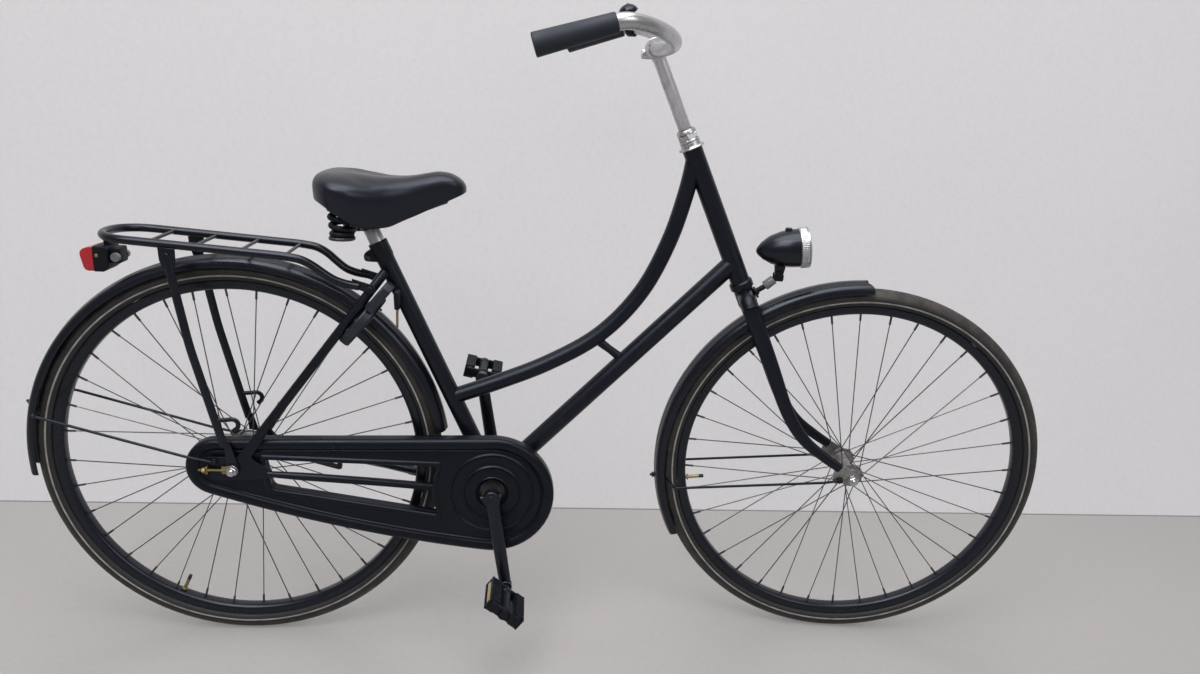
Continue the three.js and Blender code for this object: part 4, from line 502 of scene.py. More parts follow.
def tread_group():
    """Small blocks across the tread and a pale reflective line on each wall, by place on the wheel."""
    tree, given, out = group("tyre tread", [
        ("Vector", "Vector", None), ("Blocks", "Float", 150.0), ("Line Radius", "Float", 0.3275),
        ("Line Width", "Float", 0.0013), ("Colour", "Color", (0.02, 0.02, 0.02, 1)),
        ("Line Colour", "Color", (0.3, 0.29, 0.26, 1)), ("Worn Colour", "Color", (0.045, 0.036, 0.03, 1)),
    ], [("Colour", "Color"), ("Height", "Float")])
    part = node(tree, "SeparateXYZ", {"Vector": given.outputs["Vector"]})
    angle = worked(tree, "ARCTAN2", part.outputs["Z"], part.outputs["X"])
    side = worked(tree, "ABSOLUTE", part.outputs["Y"])
    skew = worked(tree, "MULTIPLY", side, 260.0)
    count = worked(tree, "MULTIPLY", angle, given.outputs["Blocks"])
    phase = worked(tree, "ADD", count, skew)
    groove = worked(tree, "SINE", phase)
    groove = ramp(tree, groove, 0.0, 1.0, -0.75, -0.35)
    inside = ramp(tree, side, 1.0, 0.0, 0.0105, 0.0125)
    outside = ramp(tree, side, 0.0, 1.0, 0.0035, 0.0042)
    region = worked(tree, "MULTIPLY", inside, outside)
    cut = worked(tree, "SUBTRACT", 1.0, groove)
    depth = worked(tree, "MULTIPLY", cut, region)
    height = worked(tree, "SUBTRACT", 1.0, depth)
    flat = node(tree, "CombineXYZ", {"X": part.outputs["X"], "Y": 0.0, "Z": part.outputs["Z"]})
    reach = node(tree, "VectorMath", {0: flat.outputs[0]}, operation="LENGTH")
    off = worked(tree, "SUBTRACT", reach.outputs["Value"], given.outputs["Line Radius"])
    off = worked(tree, "ABSOLUTE", off)
    line = worked(tree, "LESS_THAN", off, given.outputs["Line Width"])
    dirt = node(tree, "TexNoise", {"Vector": given.outputs["Vector"], "Scale": 45.0, "Detail": 6.0})
    shown = worked(tree, "MULTIPLY", line, ramp(tree, dirt.outputs["Fac"], 0.55, 1.0, 0.35, 0.6))
    worn = worked(
        tree, "MULTIPLY", ramp(tree, reach.outputs["Value"], 0.0, 1.0, 0.331, 0.339),
        ramp(tree, dirt.outputs["Fac"], 0.1, 1.0, 0.35, 0.65),
    )
    rubber = mixed(tree, worn, given.outputs["Colour"], given.outputs["Worn Colour"])
    put_out(tree, out, Colour=mixed(tree, shown, rubber, given.outputs["Line Colour"]), Height=height)


def blank_material(name):
    material = bpy.data.materials.new(name)
    material.use_nodes = True
    material.node_tree.nodes.clear()
    return material, material.node_tree


def finish_with(name, surface, values, bump=0.1, depth=0.0001, **shader_values):
    """A material whose colour, roughness and relief come from a shared surface group."""
    material, tree = blank_material(name)
    face = node(tree, "Group", node_tree=bpy.data.node_groups[surface])
    for key, value in values.items():
        face.inputs[key].default_value = value
    relief = node(tree, "Bump", {"Height": face.outputs["Height"], "Strength": bump, "Distance": depth})
    shader = node(tree, "BsdfPrincipled", {
        "Base Color": face.outputs["Colour"], "Roughness": face.outputs["Roughness"],
        "Normal": relief.outputs[0],
    })
    for key, value in shader_values.items():
        shader.inputs[key.replace("_", " ").title().replace("Ior", "IOR")].default_value = value
    out = node(tree, "OutputMaterial", {"Surface": shader.outputs[0]})
    out.target = "ALL"
    return material


def tyre_material(name, place):
    """Rubber with tread blocks, which reads the wheel's own place."""
    material, tree = blank_material(name)
    where = node(tree, "TexCoord").outputs["Object"]
    back = place.inverted()
    turn = back.to_euler("XYZ")
    own = node(tree, "Mapping", {"Vector": where, "Rotation": turn, "Location": back.translation})
    look = bpy.context.scene.bike_finish
    tread = node(tree, "Group", {"Vector": own.outputs[0]}, node_tree=bpy.data.node_groups["tyre tread"])
    tread.inputs["Colour"].default_value = (*look.tyre_colour, 1)
    tread.inputs["Line Colour"].default_value = (*look.tyre_line_colour, 1)
    skin = node(tree, "Group", node_tree=bpy.data.node_groups["moulded surface"])
    skin.inputs["Roughness"].default_value = 0.62
    skin.inputs["Scuffs"].default_value = 0.5
    skin.inputs["Dust"].default_value = 0.1
    tree.links.new(tread.outputs["Colour"], skin.inputs["Colour"])
    fine = node(tree, "Bump", {"Height": skin.outputs["Height"], "Strength": 0.12, "Distance": 0.0002})
    blocks = node(tree, "Bump", {
        "Height": tread.outputs["Height"], "Strength": 0.9, "Distance": 0.0012, "Normal": fine.outputs[0],
    })
    shader = node(tree, "BsdfPrincipled", {
        "Base Color": skin.outputs["Colour"], "Roughness": skin.outputs["Roughness"],
        "Normal": blocks.outputs[0],
    })
    node(tree, "OutputMaterial", {"Surface": shader.outputs[0]})
    return material


def make_finishes():
    """Every finish of the bike, by name."""
    look = bpy.context.scene.bike_finish
    coat_group()
    metal_group()
    moulded_group()
    tread_group()
    enamel = {
        "Colour": (*look.enamel_colour, 1), "Worn Colour": (0.04, 0.042, 0.046, 1),
        "Roughness": look.enamel_roughness, "Dust": 0.012, "Wear": 0.15,
    }
    cool = (0.76, 0.84, 1, 1)
    finish_with(
        "satin enamel", "enamel surface", enamel, 0.08, 0.0002, specular_ior_level=0.32, specular_tint=cool,
    )
    gloss = {**enamel, "Roughness": 0.27, "Dust": 0.016}
    finish_with(
        "gloss enamel", "enamel surface", gloss, 0.05, 0.0002, specular_ior_level=0.34, specular_tint=cool,
        coat_weight=0.15, coat_roughness=0.12,
    )
    case = {
        "Colour": (*look.plastic_colour, 1), "Scuff Colour": (0.05, 0.052, 0.056, 1), "Scuffs": 0.12,
        "Roughness": 0.31, "Grain Size": 1300.0, "Dust": 0.01,
    }
    finish_with(
        "case moulding", "moulded surface", case, 0.1, 0.0002, specular_ior_level=0.26, specular_tint=cool,
    )
    black = {**case, "Roughness": 0.48, "Scuffs": 0.2}
    finish_with(
        "black moulding", "moulded surface", black, 0.15, 0.0002, specular_ior_level=0.28,
        specular_tint=cool,
    )
    shell = {**case, "Colour": (0.016, 0.0165, 0.02, 1), "Roughness": 0.34, "Scuffs": 0.3}
    finish_with(
        "lock shell", "moulded surface", shell, 0.15, 0.0002, specular_ior_level=0.45, specular_tint=cool,
    )
    vinyl = {
        "Colour": (*look.vinyl_colour, 1), "Scuff Colour": (0.05, 0.05, 0.055, 1), "Scuffs": 0.15,
        "Roughness": 0.33, "Grain Size": 900.0, "Dust": 0.02,
    }
    finish_with(
        "saddle vinyl", "moulded surface", vinyl, 0.14, 0.0003, specular_ior_level=0.4, specular_tint=cool,
    )
    grip = {
        **vinyl, "Colour": (0.011, 0.011, 0.0145, 1), "Roughness": 0.6, "Grain Size": 1600.0, "Scuffs": 0.4,
    }
    finish_with("grip rubber", "moulded surface", grip, 0.2, 0.0003, specular_tint=cool)
    alloy = {
        "Colour": (*look.alloy_colour, 1), "Tarnish": (0.3, 0.29, 0.28, 1), "Age": 0.55,
        "Roughness": 0.36, "Line Size": 420.0,
    }
    finish_with("dull alloy", "bare metal surface", alloy, 0.12, 0.0002, metallic=0.9)
    aged = {
        **alloy, "Colour": (0.3, 0.295, 0.29, 1), "Tarnish": (0.1, 0.095, 0.09, 1), "Age": 0.9,
        "Roughness": 0.42,
    }
    finish_with("aged alloy", "bare metal surface", aged, 0.16, 0.0003, metallic=0.85)
    chrome = {**alloy, "Colour": (0.5, 0.5, 0.51, 1), "Age": 0.4, "Roughness": 0.27}
    finish_with("plated steel", "bare metal surface", chrome, 0.06, 0.0001, metallic=1.0)
    zinc = {
        **alloy, "Colour": (0.13, 0.128, 0.13, 1), "Tarnish": (0.06, 0.056, 0.052, 1), "Roughness": 0.38,
        "Age": 0.5,
    }
    finish_with("spoke steel", "bare metal surface", zinc, 0.05, 0.0001, metallic=0.9)
    finish_with("dark steel", "bare metal surface", {
        **zinc, "Colour": (0.08, 0.08, 0.082, 1),
    }, 0.1, 0.0002, metallic=0.8)
    brass = {**alloy, "Colour": (0.32, 0.25, 0.12, 1), "Tarnish": (0.12, 0.09, 0.05, 1), "Roughness": 0.38}
    finish_with("yellow brass", "bare metal surface", brass, 0.1, 0.0002, metallic=1.0)
    lens = {
        "Colour": (*look.tail_lens_colour, 1), "Scuff Colour": (0.6, 0.25, 0.22, 1), "Scuffs": 0.1,
        "Roughness": 0.16, "Grain Size": 350.0, "Dust": 0.03,
    }
    finish_with("red lens", "moulded surface", lens, 0.6, 0.0008, coat_weight=0.6)
    amber = {**lens, "Colour": (0.27, 0.19, 0.06, 1)}
    finish_with("amber lens", "moulded surface", amber, 0.6, 0.0006, coat_weight=0.6)
    clear = {**lens, "Colour": (0.8, 0.83, 0.86, 1), "Scuffs": 0.0, "Dust": 0.0, "Roughness": 0.08}
    finish_with("clear lens", "moulded surface", clear, 0.5, 0.0008, transmission_weight=0.85, ior=1.49)
    sleeve = {**case, "Colour": (0.2, 0.21, 0.22, 1), "Roughness": 0.35}
    finish_with("grey sleeve", "moulded surface", sleeve, 0.1, 0.0002, transmission_weight=0.3)
    tyre_material("rear tyre rubber", Matrix.Translation(REAR_AXLE * MM))
    tyre_material("front tyre rubber", STEERED @ Matrix.Translation(FRONT_AXLE * MM))


def tubes(name, routes, radius, rounds=1):
    """Several round bars of one size, in one piece."""
    piece = drawn(name, routes)
    piece.data.bevel_depth = radius * MM
    piece.data.bevel_resolution = rounds
    piece.data.use_fill_caps = True
    return to_mesh(piece)


def arc(radius, degrees):
    """Points (x, z) at these angles on a circle about the origin."""
    return [(radius * math.cos(math.radians(a)), radius * math.sin(math.radians(a))) for a in degrees]


def on_wheel(centre, radius, degrees, y=0):
    angle = math.radians(degrees)
    return centre + Vector((radius * math.cos(angle), y, radius * math.sin(angle)))


def across(line):
    """A line's mirror image over the bike's middle plane, run backwards, and then the line itself."""
    return [*(Vector((p.x, -p.y, p.z)) for p in reversed(line) if p.y), *line]


def both_ways(half):
    """A profile given for one side, and the same points mirrored for the other."""
    return [*half, *((r, -y) for r, y in reversed(half))]


# Wheels

THREAD_DEPTH = 0.35
WHEELS = {
    "rear": {"centre": REAR_AXLE, "place": NO_TURN, "body": "rear_wheel", "valve": 245.5},
    "front": {"centre": FRONT_AXLE, "place": STEERED, "body": "front_wheel", "valve": 188.3},
}
FLANGES = {
    ("rear", "right"): (31, 23, 25.5, 3), ("rear", "left"): (31, 31, 33.5, 13),
    ("front", "right"): (19, 32, 35, 3.3), ("front", "left"): (19, 32, 35, 13.3),
}


def make_tyre(name, wheel):
    turns = [math.radians(degrees) for degrees in range(90, -42, -6)]
    wall = [(330.2 + 17.8 * math.sin(turn), 18.5 * math.cos(turn)) for turn in turns]
    tyre = turned("tyre", both_ways([*wall, (318.9, 12.6)]), wheel["centre"], steps=160)
    dressed(tyre, f"{name}_tyre", wheel["body"], f"{name} tyre rubber", wheel["place"], 60)


def make_rim(name, wheel):
    centre = wheel["centre"]
    half = [
        (315, 0), (313, 7), (318.2, 9.4), (318.6, 11.4), (317.6, 12.6), (309.6, 12.6), (305.4, 11),
        (302.8, 8), (302, 4.4),
    ]
    rim = turned("rim", both_ways(half), centre, steps=160)
    foot = on_wheel(centre, 304, wheel["valve"])
    tip = on_wheel(centre, 268, wheel["valve"])
    stem = rod("valve", foot, on_wheel(centre, 276, wheel["valve"]), 3.1, 0.4, 16)
    cap = rod("cap", on_wheel(centre, 278, wheel["valve"]), tip, 3.3, 1.2, 12)
    nut = hexagon("nut", on_wheel(centre, 300.5, wheel["valve"]), on_wheel(centre, 297, wheel["valve"]), 5.4)
    dressed(rim, f"{name}_rim", wheel["body"], "gloss enamel", wheel["place"])
    valve = joined("valve", [stem, nut])
    fitted(valve, f"{name}_valve", wheel["body"], "yellow brass", (), wheel["place"])
    fitted(cap, f"{name}_valve_cap", wheel["body"], "grip rubber", (), wheel["place"])


SPOKES_A_SIDE = 18
LACED_OVER = 40


def make_spokes(name, side, wheel):
    centre = wheel["centre"]
    hole_radius, low, high, phase = FLANGES[(name, side)]
    sign = SIDES[side]
    lines = []
    nipples = []
    for index in range(SPOKES_A_SIDE):
        hole = phase + 360 / SPOKES_A_SIDE * index
        leading = index % 2 == 0
        face = high + 1.3 if leading else low - 1.3
        back = low - 0.9 if leading else high + 0.9
        aim = hole + (LACED_OVER if leading else -LACED_OVER)
        start = on_wheel(centre, hole_radius, hole, sign * back)
        elbow = on_wheel(centre, hole_radius + 0.4, hole + (1.2 if leading else -1.2), sign * face)
        end = on_wheel(centre, 301, aim, sign * 3)
        lines.append([start, elbow, elbow.lerp(end, 0.03), end])
        nipples.append([elbow.lerp(end, 0.952), elbow.lerp(end, 0.956), elbow.lerp(end, 1.004)])
    piece = tubes("spokes", lines, 1.0, 1)
    dressed(piece, f"{name}_spokes_{side}", wheel["body"], "spoke steel", wheel["place"], 60)
    ends = tubes("nipples", nipples, 2.0, 2)
    fitted(ends, f"{name}_nipples_{side}", wheel["body"], "dark steel", (), wheel["place"])


def make_hub(name, wheel):
    if name == "front":
        half = [
            (8, 47), (10.6, 47), (11, 46.4), (11, 40), (11.6, 37), (13, 35.6), (21.4, 35), (22, 34.6),
            (22, 32.4), (21.4, 32), (14.6, 31.6), (13.4, 30), (12.8, 20), (12.5, 0),
        ]
        profile = both_ways(half)
    else:
        profile = [
            (9, -38), (19.4, -38), (20, -37.4), (20, -34), (28, -31.5), (28, -26), (33.4, -25.5), (34, -25),
            (34, -23.5), (33.4, -23), (29, -22.6), (28, -21), (28, 29), (29, 30.6), (33.4, 31), (34, 31.5),
            (34, 33), (33.4, 33.5), (28, 34), (27, 37), (18.6, 39.5), (18, 40), (18, 49.4), (17.4, 50),
            (9, 50),
        ]
    hub = turned("hub", profile, wheel["centre"], steps=72)
    dressed(hub, f"{name}_hub", wheel["body"], "aged alloy", wheel["place"], 30)


def make_axle(name, body, place, ends, centre):
    """A threaded axle with its cones, washers and hexagon nuts."""
    rod_radius, cone_in, cone_out, nut_in, end = ends
    thread = []
    steps = int((end - nut_in - 7) / 0.5)
    for index in range(steps):
        thread.append((rod_radius - (THREAD_DEPTH if index % 2 else 0), end - 0.5 * index))
    half = [(0, end + 0.4), (rod_radius - 0.8, end + 0.4), *thread, (rod_radius, cone_out)]
    shaft = turned("axle", both_ways(half), centre, steps=20, closed=False)
    parts = [shaft]
    for sign in (-1, 1):
        out = Y * sign
        parts.append(turned("cone", [
            (rod_radius, 0), (8.2, 0), (8.4, 0.4), (8.4, 3.4), (7, cone_out - cone_in - 0.4),
            (rod_radius, cone_out - cone_in),
        ], centre + out * cone_in, out, 24))
        parts.append(turned("washer", [
            (rod_radius, 0), (9.6, 0), (9.8, 0.3), (9.8, 1.3), (9.6, 1.6), (rod_radius, 1.6),
        ], centre + out * nut_in, out, 32))
        parts.append(hexagon("nut", centre + out * (nut_in + 1.6), centre + out * (nut_in + 7.5), 9))
    axle = joined("axle", parts)
    dressed(axle, f"{name}_axle", body, "plated steel", place, 25)


class BIKE_OT_finishes(bpy.types.Operator):
    """Makes the shared surfaces and every finish of the bike"""

    bl_idname = "bike.finishes"
    bl_label = "Finishes"

    def execute(self, context):
        make_finishes()
        return {"FINISHED"}


class BIKE_OT_wheels(bpy.types.Operator):
    """Makes both tyres, rims, hubs, axles and all the laced spokes"""

    bl_idname = "bike.wheels"
    bl_label = "Wheels"

    def execute(self, context):
        for name, wheel in WHEELS.items():
            make_tyre(name, wheel)
            make_rim(name, wheel)
            make_hub(name, wheel)
            for side in SIDES:
                make_spokes(name, side, wheel)
        make_axle("rear", "frame", NO_TURN, (4.8, 50.3, 58, 69.9, 83), REAR_AXLE)
        make_axle("front", "steering", STEERED, (4.6, 47.3, 50, 54.6, 66), FRONT_AXLE)
        return {"FINISHED"}


# Frame

TOP_TUBE_ROUTE = [
    seat_at(177), (444, 0, 496), (533, 0, 535), (621, 0, 590), (689, 0, 668), (732, 0, 760), (755, 0, 844),
    head_at(218, -9), head_at(232, -1),
]
STAY_TOP = seat_at(429, -6)
STAY_RUN = (STAY_TOP - REAR_AXLE).normalized()


def seatstay_route(side):
    low = REAR_AXLE + STAY_RUN * 76 + Y * side * 60.8
    widths = ((0.3, 54), (0.62, 44), (0.84, 37), (0.93, 31), (1, 19))
    return [low, *(REAR_AXLE.lerp(STAY_TOP, share) + Y * side * y for share, y in widths)]


def chainstay_route(side):
    line = ((56, 61.5, 339), (150, 50, 327.5), (250, 36, 314), (330, 27, 303), (425, 24.5, 294))
    return [(x, side * y, z) for x, y, z in line]


def make_dropout(side):
    """A slotted plate with an arm up to the seat stay and one to the chain stay."""
    stay = REAR_AXLE + STAY_RUN * 84
    outline = [
        (-40, 343), (-40, 332), (-34, 327), (21, 327), (63, 332), (63, 346), (36, 362), (30, 370),
        (stay.x + 8, stay.z - 4), (stay.x + 6, stay.z + 6), (stay.x - 6, stay.z + 9), (stay.x - 9, stay.z),
        (6, 369), (-12, 369), (-40, 369), (-40, 353.4), (0, 353.4), (4, 351.6), (5.4, 348), (4, 344.4),
        (0, 342.6), (-40, 342.6),
    ]
    low, high = (58.3, 63.3) if side > 0 else (-63.3, -58.3)
    return plate("dropout", outline, low, high, edge=0.8, rounds=2)


class BIKE_OT_frame(bpy.types.Operator):
    """Makes the welded tubes, the stays, the dropouts and the seat clamp"""

    bl_idname = "bike.frame"
    bl_label = "Frame"

    def execute(self, context):
        enamel = "satin enamel"
        down_end = head_at(36)
        down = tube("down", [BRACKET, BRACKET.lerp(down_end, 0.5), down_end], 16.5, rounds=8)
        dressed(down, "down_tube", "frame", enamel)
        route = eased(TOP_TUBE_ROUTE, 8)
        top = tube("top", route, 14.3, rounds=8)
        bridge_low = BRACKET.lerp(down_end, 0.56)
        bridge = tube(
            "bridge", [bridge_low, bridge_low.lerp(Vector((612, 0, 583)), 0.5), (612, 0, 583)], 7.4,
            radii=[8.6, 7, 8.6], rounds=5,
        )
        dressed(joined("top", [top, bridge]), "top_tube", "frame", enamel)
        seat = turned("seat", [
            (13.6, 478), (14.4, 478.6), (15.6, 478), (16.4, 477), (16.4, 452), (15.2, 448), (15, 440),
            (15, 4), (13.6, 4),
        ], BRACKET, TUBE_UP, 48)
        ear_stops = [
            (240, 0, 722), (234, 0, 730), (216, 0, 720), (217.6, 0, 706.5), (243, 0, 706), (240, 0, 722),
        ]
        ear_line = [(p.x, p.z) for p in bent(ear_stops, 6)[:-1]]
        ears = [
            plate("ear", ear_line, low, high, edge=2, rounds=3) for low, high in ((-10.5, -0.9), (0.9, 10.5))
        ]
        dressed(joined("seat", [seat, *ears]), "seat_tube", "frame", enamel)
        head = turned("head", [
            (13.4, -13), (19.8, -13), (20.5, -12.4), (20.5, -2), (19.4, -0.6), (17.4, 0.4), (17, 3),
            (17, 243), (17.6, 245), (17.6, 246), (14.6, 246), (14.6, 0), (13.4, 0),
        ], HEAD_LOW, TUBE_UP, 48)
        dressed(head, "head_tube", "frame", enamel)
        shell = turned("shell", both_ways([
            (8.6, 34), (19.4, 34), (20.6, 33.2), (20.6, 20), (20, 10),
        ]), BRACKET, steps=48)
        dressed(shell, "bottom_bracket_shell", "frame", enamel)
        for label, side in SIDES.items():
            seatstay = tube("seatstay", eased(seatstay_route(side), 5), 8, rounds=5)
            chain_line = eased(chainstay_route(side), 5)
            widths = [5.4, 6, 6.6, 7] + [7.2] * (len(chain_line) - 4)
            chainstay = tube("chainstay", chain_line, 7, radii=widths, rounds=5)
            stays = joined("stays", [make_dropout(side), seatstay, chainstay])
            dressed(stays, f"rear_stays_{label}", "frame", enamel)
        bolt_at = Vector((224, 0, 713))
        bolt = rod("bolt", bolt_at + Y * -12, bolt_at + Y * 13, 2.9)
        bolt_head = turned("head", [
            (0, -13.6), (2.4, -13.6), (2.8, -15.4), (4.4, -15.4), (5, -14.6), (5, -10.6), (0, -10.6),
        ], bolt_at, steps=32, closed=False)
        nut = hexagon("nut", bolt_at + Y * 10.6, bolt_at + Y * 15, 5.4)
        dressed(joined("bolt", [bolt, bolt_head, nut]), "seat_clamp_bolt", "frame", "dark steel")
        post = turned("post", [
            (0, 395), (12.4, 395), (13, 395.8), (13, 501), (12.2, 503), (11, 504), (11, 529), (10, 530),
            (0, 530),
        ], BRACKET, TUBE_UP, 40, closed=False)
        dressed(post, "seatpost", "post", "dull alloy")
        return {"FINISHED"}


# Front end


def blade_route(side):
    top = head_at(-29.8, 0, side * 38)
    knee = head_at(-262, 0, side * 47)
    return [
        top, top.lerp(knee, 0.5), knee, (1005, side * 48.6, 417), (1044, side * 50.6, 388),
        (1074, side * 52.3, 369),
    ]


def make_fork():
    enamel = "satin enamel"
    steerer = rod("steerer", head_at(-46), head_at(262), 12.7)
    crown = turned("crown", [
        (0, -47), (14, -47), (16.4, -45.6), (17, -43), (17, -16), (18.4, -14.4), (18.4, -11), (17.4, -10),
        (0, -10),
    ], HEAD_LOW, TUBE_UP, 48, closed=False)
    shoulder = tube("shoulder", eased([
        head_at(-42, 0, -47), head_at(-31, 0, -39), head_at(-28, 0, -22), head_at(-28, 0, 22),
        head_at(-31, 0, 39), head_at(-42, 0, 47),
    ], 6), 14.4, rounds=8)
    parts = [steerer, crown, shoulder]
    tips = []
    for side in SIDES.values():
        route = eased(blade_route(side), 8)
        count = len(route) - 1
        radii = [
            15.5 - 4 * min(i / 16, 1) if i < 17 else 11.5 - 2.9 * (i - 16) / (count - 16)
            for i in range(count + 1)
        ]
        parts.append(tube("blade", route, 15.5, radii=radii, flat=0.66, rounds=8))
        low, high = sorted((side * 50.3, side * 54.3))
        outline = [
            (1066, 378), (1084, 373), (1108, 358), (1112, 350), (1109, 341), (1105, 337), (1105, 348),
            (1103.6, 351.6), (1100, 353), (1096.4, 351.6), (1095, 348), (1095, 337), (1088, 337),
            (1079, 341), (1069, 338), (1064, 343), (1063, 356),
        ]
        tips.append(plate("tip", outline, low, high, edge=0.9, rounds=2))
    dressed(joined("fork", parts), "fork", "steering", enamel, STEERED)
    fitted(joined("tips", tips), "fork_tips", "steering", "aged alloy", (), STEERED)


def make_headset():
    chrome = "plated steel"
    cup = turned("cup", [
        (13.3, 0), (20.4, 0), (21.6, 0.7), (22.2, 2), (21.6, 3.3), (20.4, 4), (17.4, 4.6), (17, 5.4),
        (17, 10.4), (16.4, 11), (13.3, 11),
    ], head_at(246.3), TUBE_UP, 64)
    dressed(cup, "headset_upper_cup", "frame", chrome)
    nut = hexagon("nut", head_at(261.5), head_at(273), 18.4)
    collar = turned("collar", [
        (13.1, 0), (16.2, 0), (17, 0.8), (17, 3.4), (16.2, 4.4), (15.8, 5), (15.8, 6.4), (13.1, 6.4),
    ], head_at(257.6), TUBE_UP, 64)
    cap = turned("cap", [
        (12.9, 0), (16.8, 0), (16.4, 3.4), (14.8, 6.2), (12.9, 7),
    ], head_at(272.6), TUBE_UP, 64)
    dressed(joined("nut", [collar, nut, cap]), "headset_locknut", "steering", chrome, STEERED)


BAR_STOPS = [
    (686.8, 24, 1072.9), (696, 44, 1073.5), (704, 75, 1075.5), (710, 130, 1082), (704, 183, 1090),
    (685, 234, 1099), (655, 268, 1106), (634, 281, 1106), (533, 297, 1074), (525, 298, 1071.5),
]


def make_stem_and_bar():
    alloy = "dull alloy"
    quill = turned("quill", [
        (0, 172), (10.6, 172), (11.1, 173), (11.1, 396), (12.4, 402), (13.6, 408), (13.6, 417), (0, 417),
    ], HEAD_LOW, TUBE_UP, 48, closed=False)
    clamp = turned("clamp", [
        (11.6, -19), (16.6, -19), (17.5, -18), (17.5, 18), (16.6, 19), (11.6, 19),
    ], head_at(417), steps=64)
    centre = head_at(417)
    ears = [
        block("ear", (18, 9.4, 15), centre + Vector((-14, side * 6.3, -9.5)), 3) for side in (-1, 1)
    ]
    bolt_at = centre + Vector((-17.4, 0, -10))
    bolt = rod("bolt", bolt_at + Y * -17, bolt_at + Y * 17, 3.4)
    head = hexagon("head", bolt_at + Y * -11, bolt_at + Y * -17, 6)
    stem = joined("stem", [quill, clamp, *ears, bolt, head])
    dressed(stem, "stem", "quill", alloy, STEERED)
    handlebar = tube("bar", across(eased(BAR_STOPS, 6)), 11.3, rounds=8)
    dressed(handlebar, "handlebar", "bar", "plated steel", STEERED)
    end = Vector(BAR_STOPS[-1])
    along = (end - Vector(BAR_STOPS[-3])).normalized()
    rubber = "grip rubber"
    profile = [
        (11.6, 0), (12.9, 0), (13.6, 0.7), (13.9, 2), (14.5, 30), (15.4, 70), (16.1, 100), (16.4, 110.4),
        (16.4, 111.4), (15.8, 112.7), (14.9, 113), (14.4, 112.4), (0, 112.4), (0, 109.5), (11.6, 109.5),
    ]
    grip = turned("grip", profile, end + along * -109, along, 64)
    dressed(mirrored(grip, "grip"), "grip_right", "bar", rubber, STEERED, 30)
    dressed(grip, "grip_left", "bar", rubber, STEERED, 30)


def make_bell():
    moulding = "black moulding"
    centre = Vector((645, 274.2, 1106))
    along = (Vector(BAR_STOPS[7]) - Vector(BAR_STOPS[6])).normalized()
    lean = Vector((-0.2, 0, 0.98))
    band = turned("band", [
        (11.7, -7), (14.8, -7), (15.5, -6), (15.5, 6), (14.8, 7), (11.7, 7),
    ], centre, along, 48)
    top = centre + Z * 29
    post = rod("post", centre + Z * 12, top + Z * 2, 4)
    top = top + X * -8 + Z * -1
    floor = turned("floor", [
        (0, 0), (15, 0), (16, 0.8), (16, 2.4), (15, 3), (0, 3),
    ], top, lean, 48, closed=False)
    dome = turned("dome", [
        (0, 13.8), (6, 13), (11, 10.6), (15, 6.8), (17.4, 3.4), (17.8, 2.6), (18.6, 2.6), (18.6, 3.6),
        (16, 8), (12, 11.8), (7, 14.2), (2.6, 15), (2.4, 16), (0, 16.2),
    ], top, lean, 64)
    fitted(
        joined("bell", [band, post, floor]), "bell_clamp", "bar", moulding, ["bell_base"],
        STEERED,
    )
    fitted(dome, "bell_dome", "bar", "gloss enamel", (), STEERED, 60)
    pivot = centre + Z * 21
    ring = turned("ring", [(4.5, 0), (7.6, 0), (8, 0.4), (8, 2), (7.6, 2.4), (4.5, 2.4)], pivot, Z, 32)
    arm = block("arm", (19, 7, 2.4), pivot + Vector((-16.5, 0, 1.2)), 0.9)
    thumb = rod("thumb", pivot + Vector((-24, 0, -1)), pivot + Vector((-24, 0, 5)), 4.2, 1.2)
    fitted(
        joined("lever", [ring, arm, thumb]), "bell_lever_dressed", "bell_lever", moulding,
        ["bell_striker"], STEERED,
    )


class BIKE_OT_steering(bpy.types.Operator):
    """Makes the fork, headset, stem, handlebar, grips and bell"""

    bl_idname = "bike.steering"
    bl_label = "Front end"

    def execute(self, context):
        make_fork()
        make_headset()
        make_stem_and_bar()
        make_bell()
        return {"FINISHED"}


# Headlamp

LAMP_TILT = math.radians(8)
LAMP_REAR = Vector((885, 0, 750))
LAMP_ALONG = Vector((math.cos(LAMP_TILT), 0, math.sin(LAMP_TILT)))
LAMP_FOOT = Vector((929, 0, 711))
LAMP_RIBS = 72


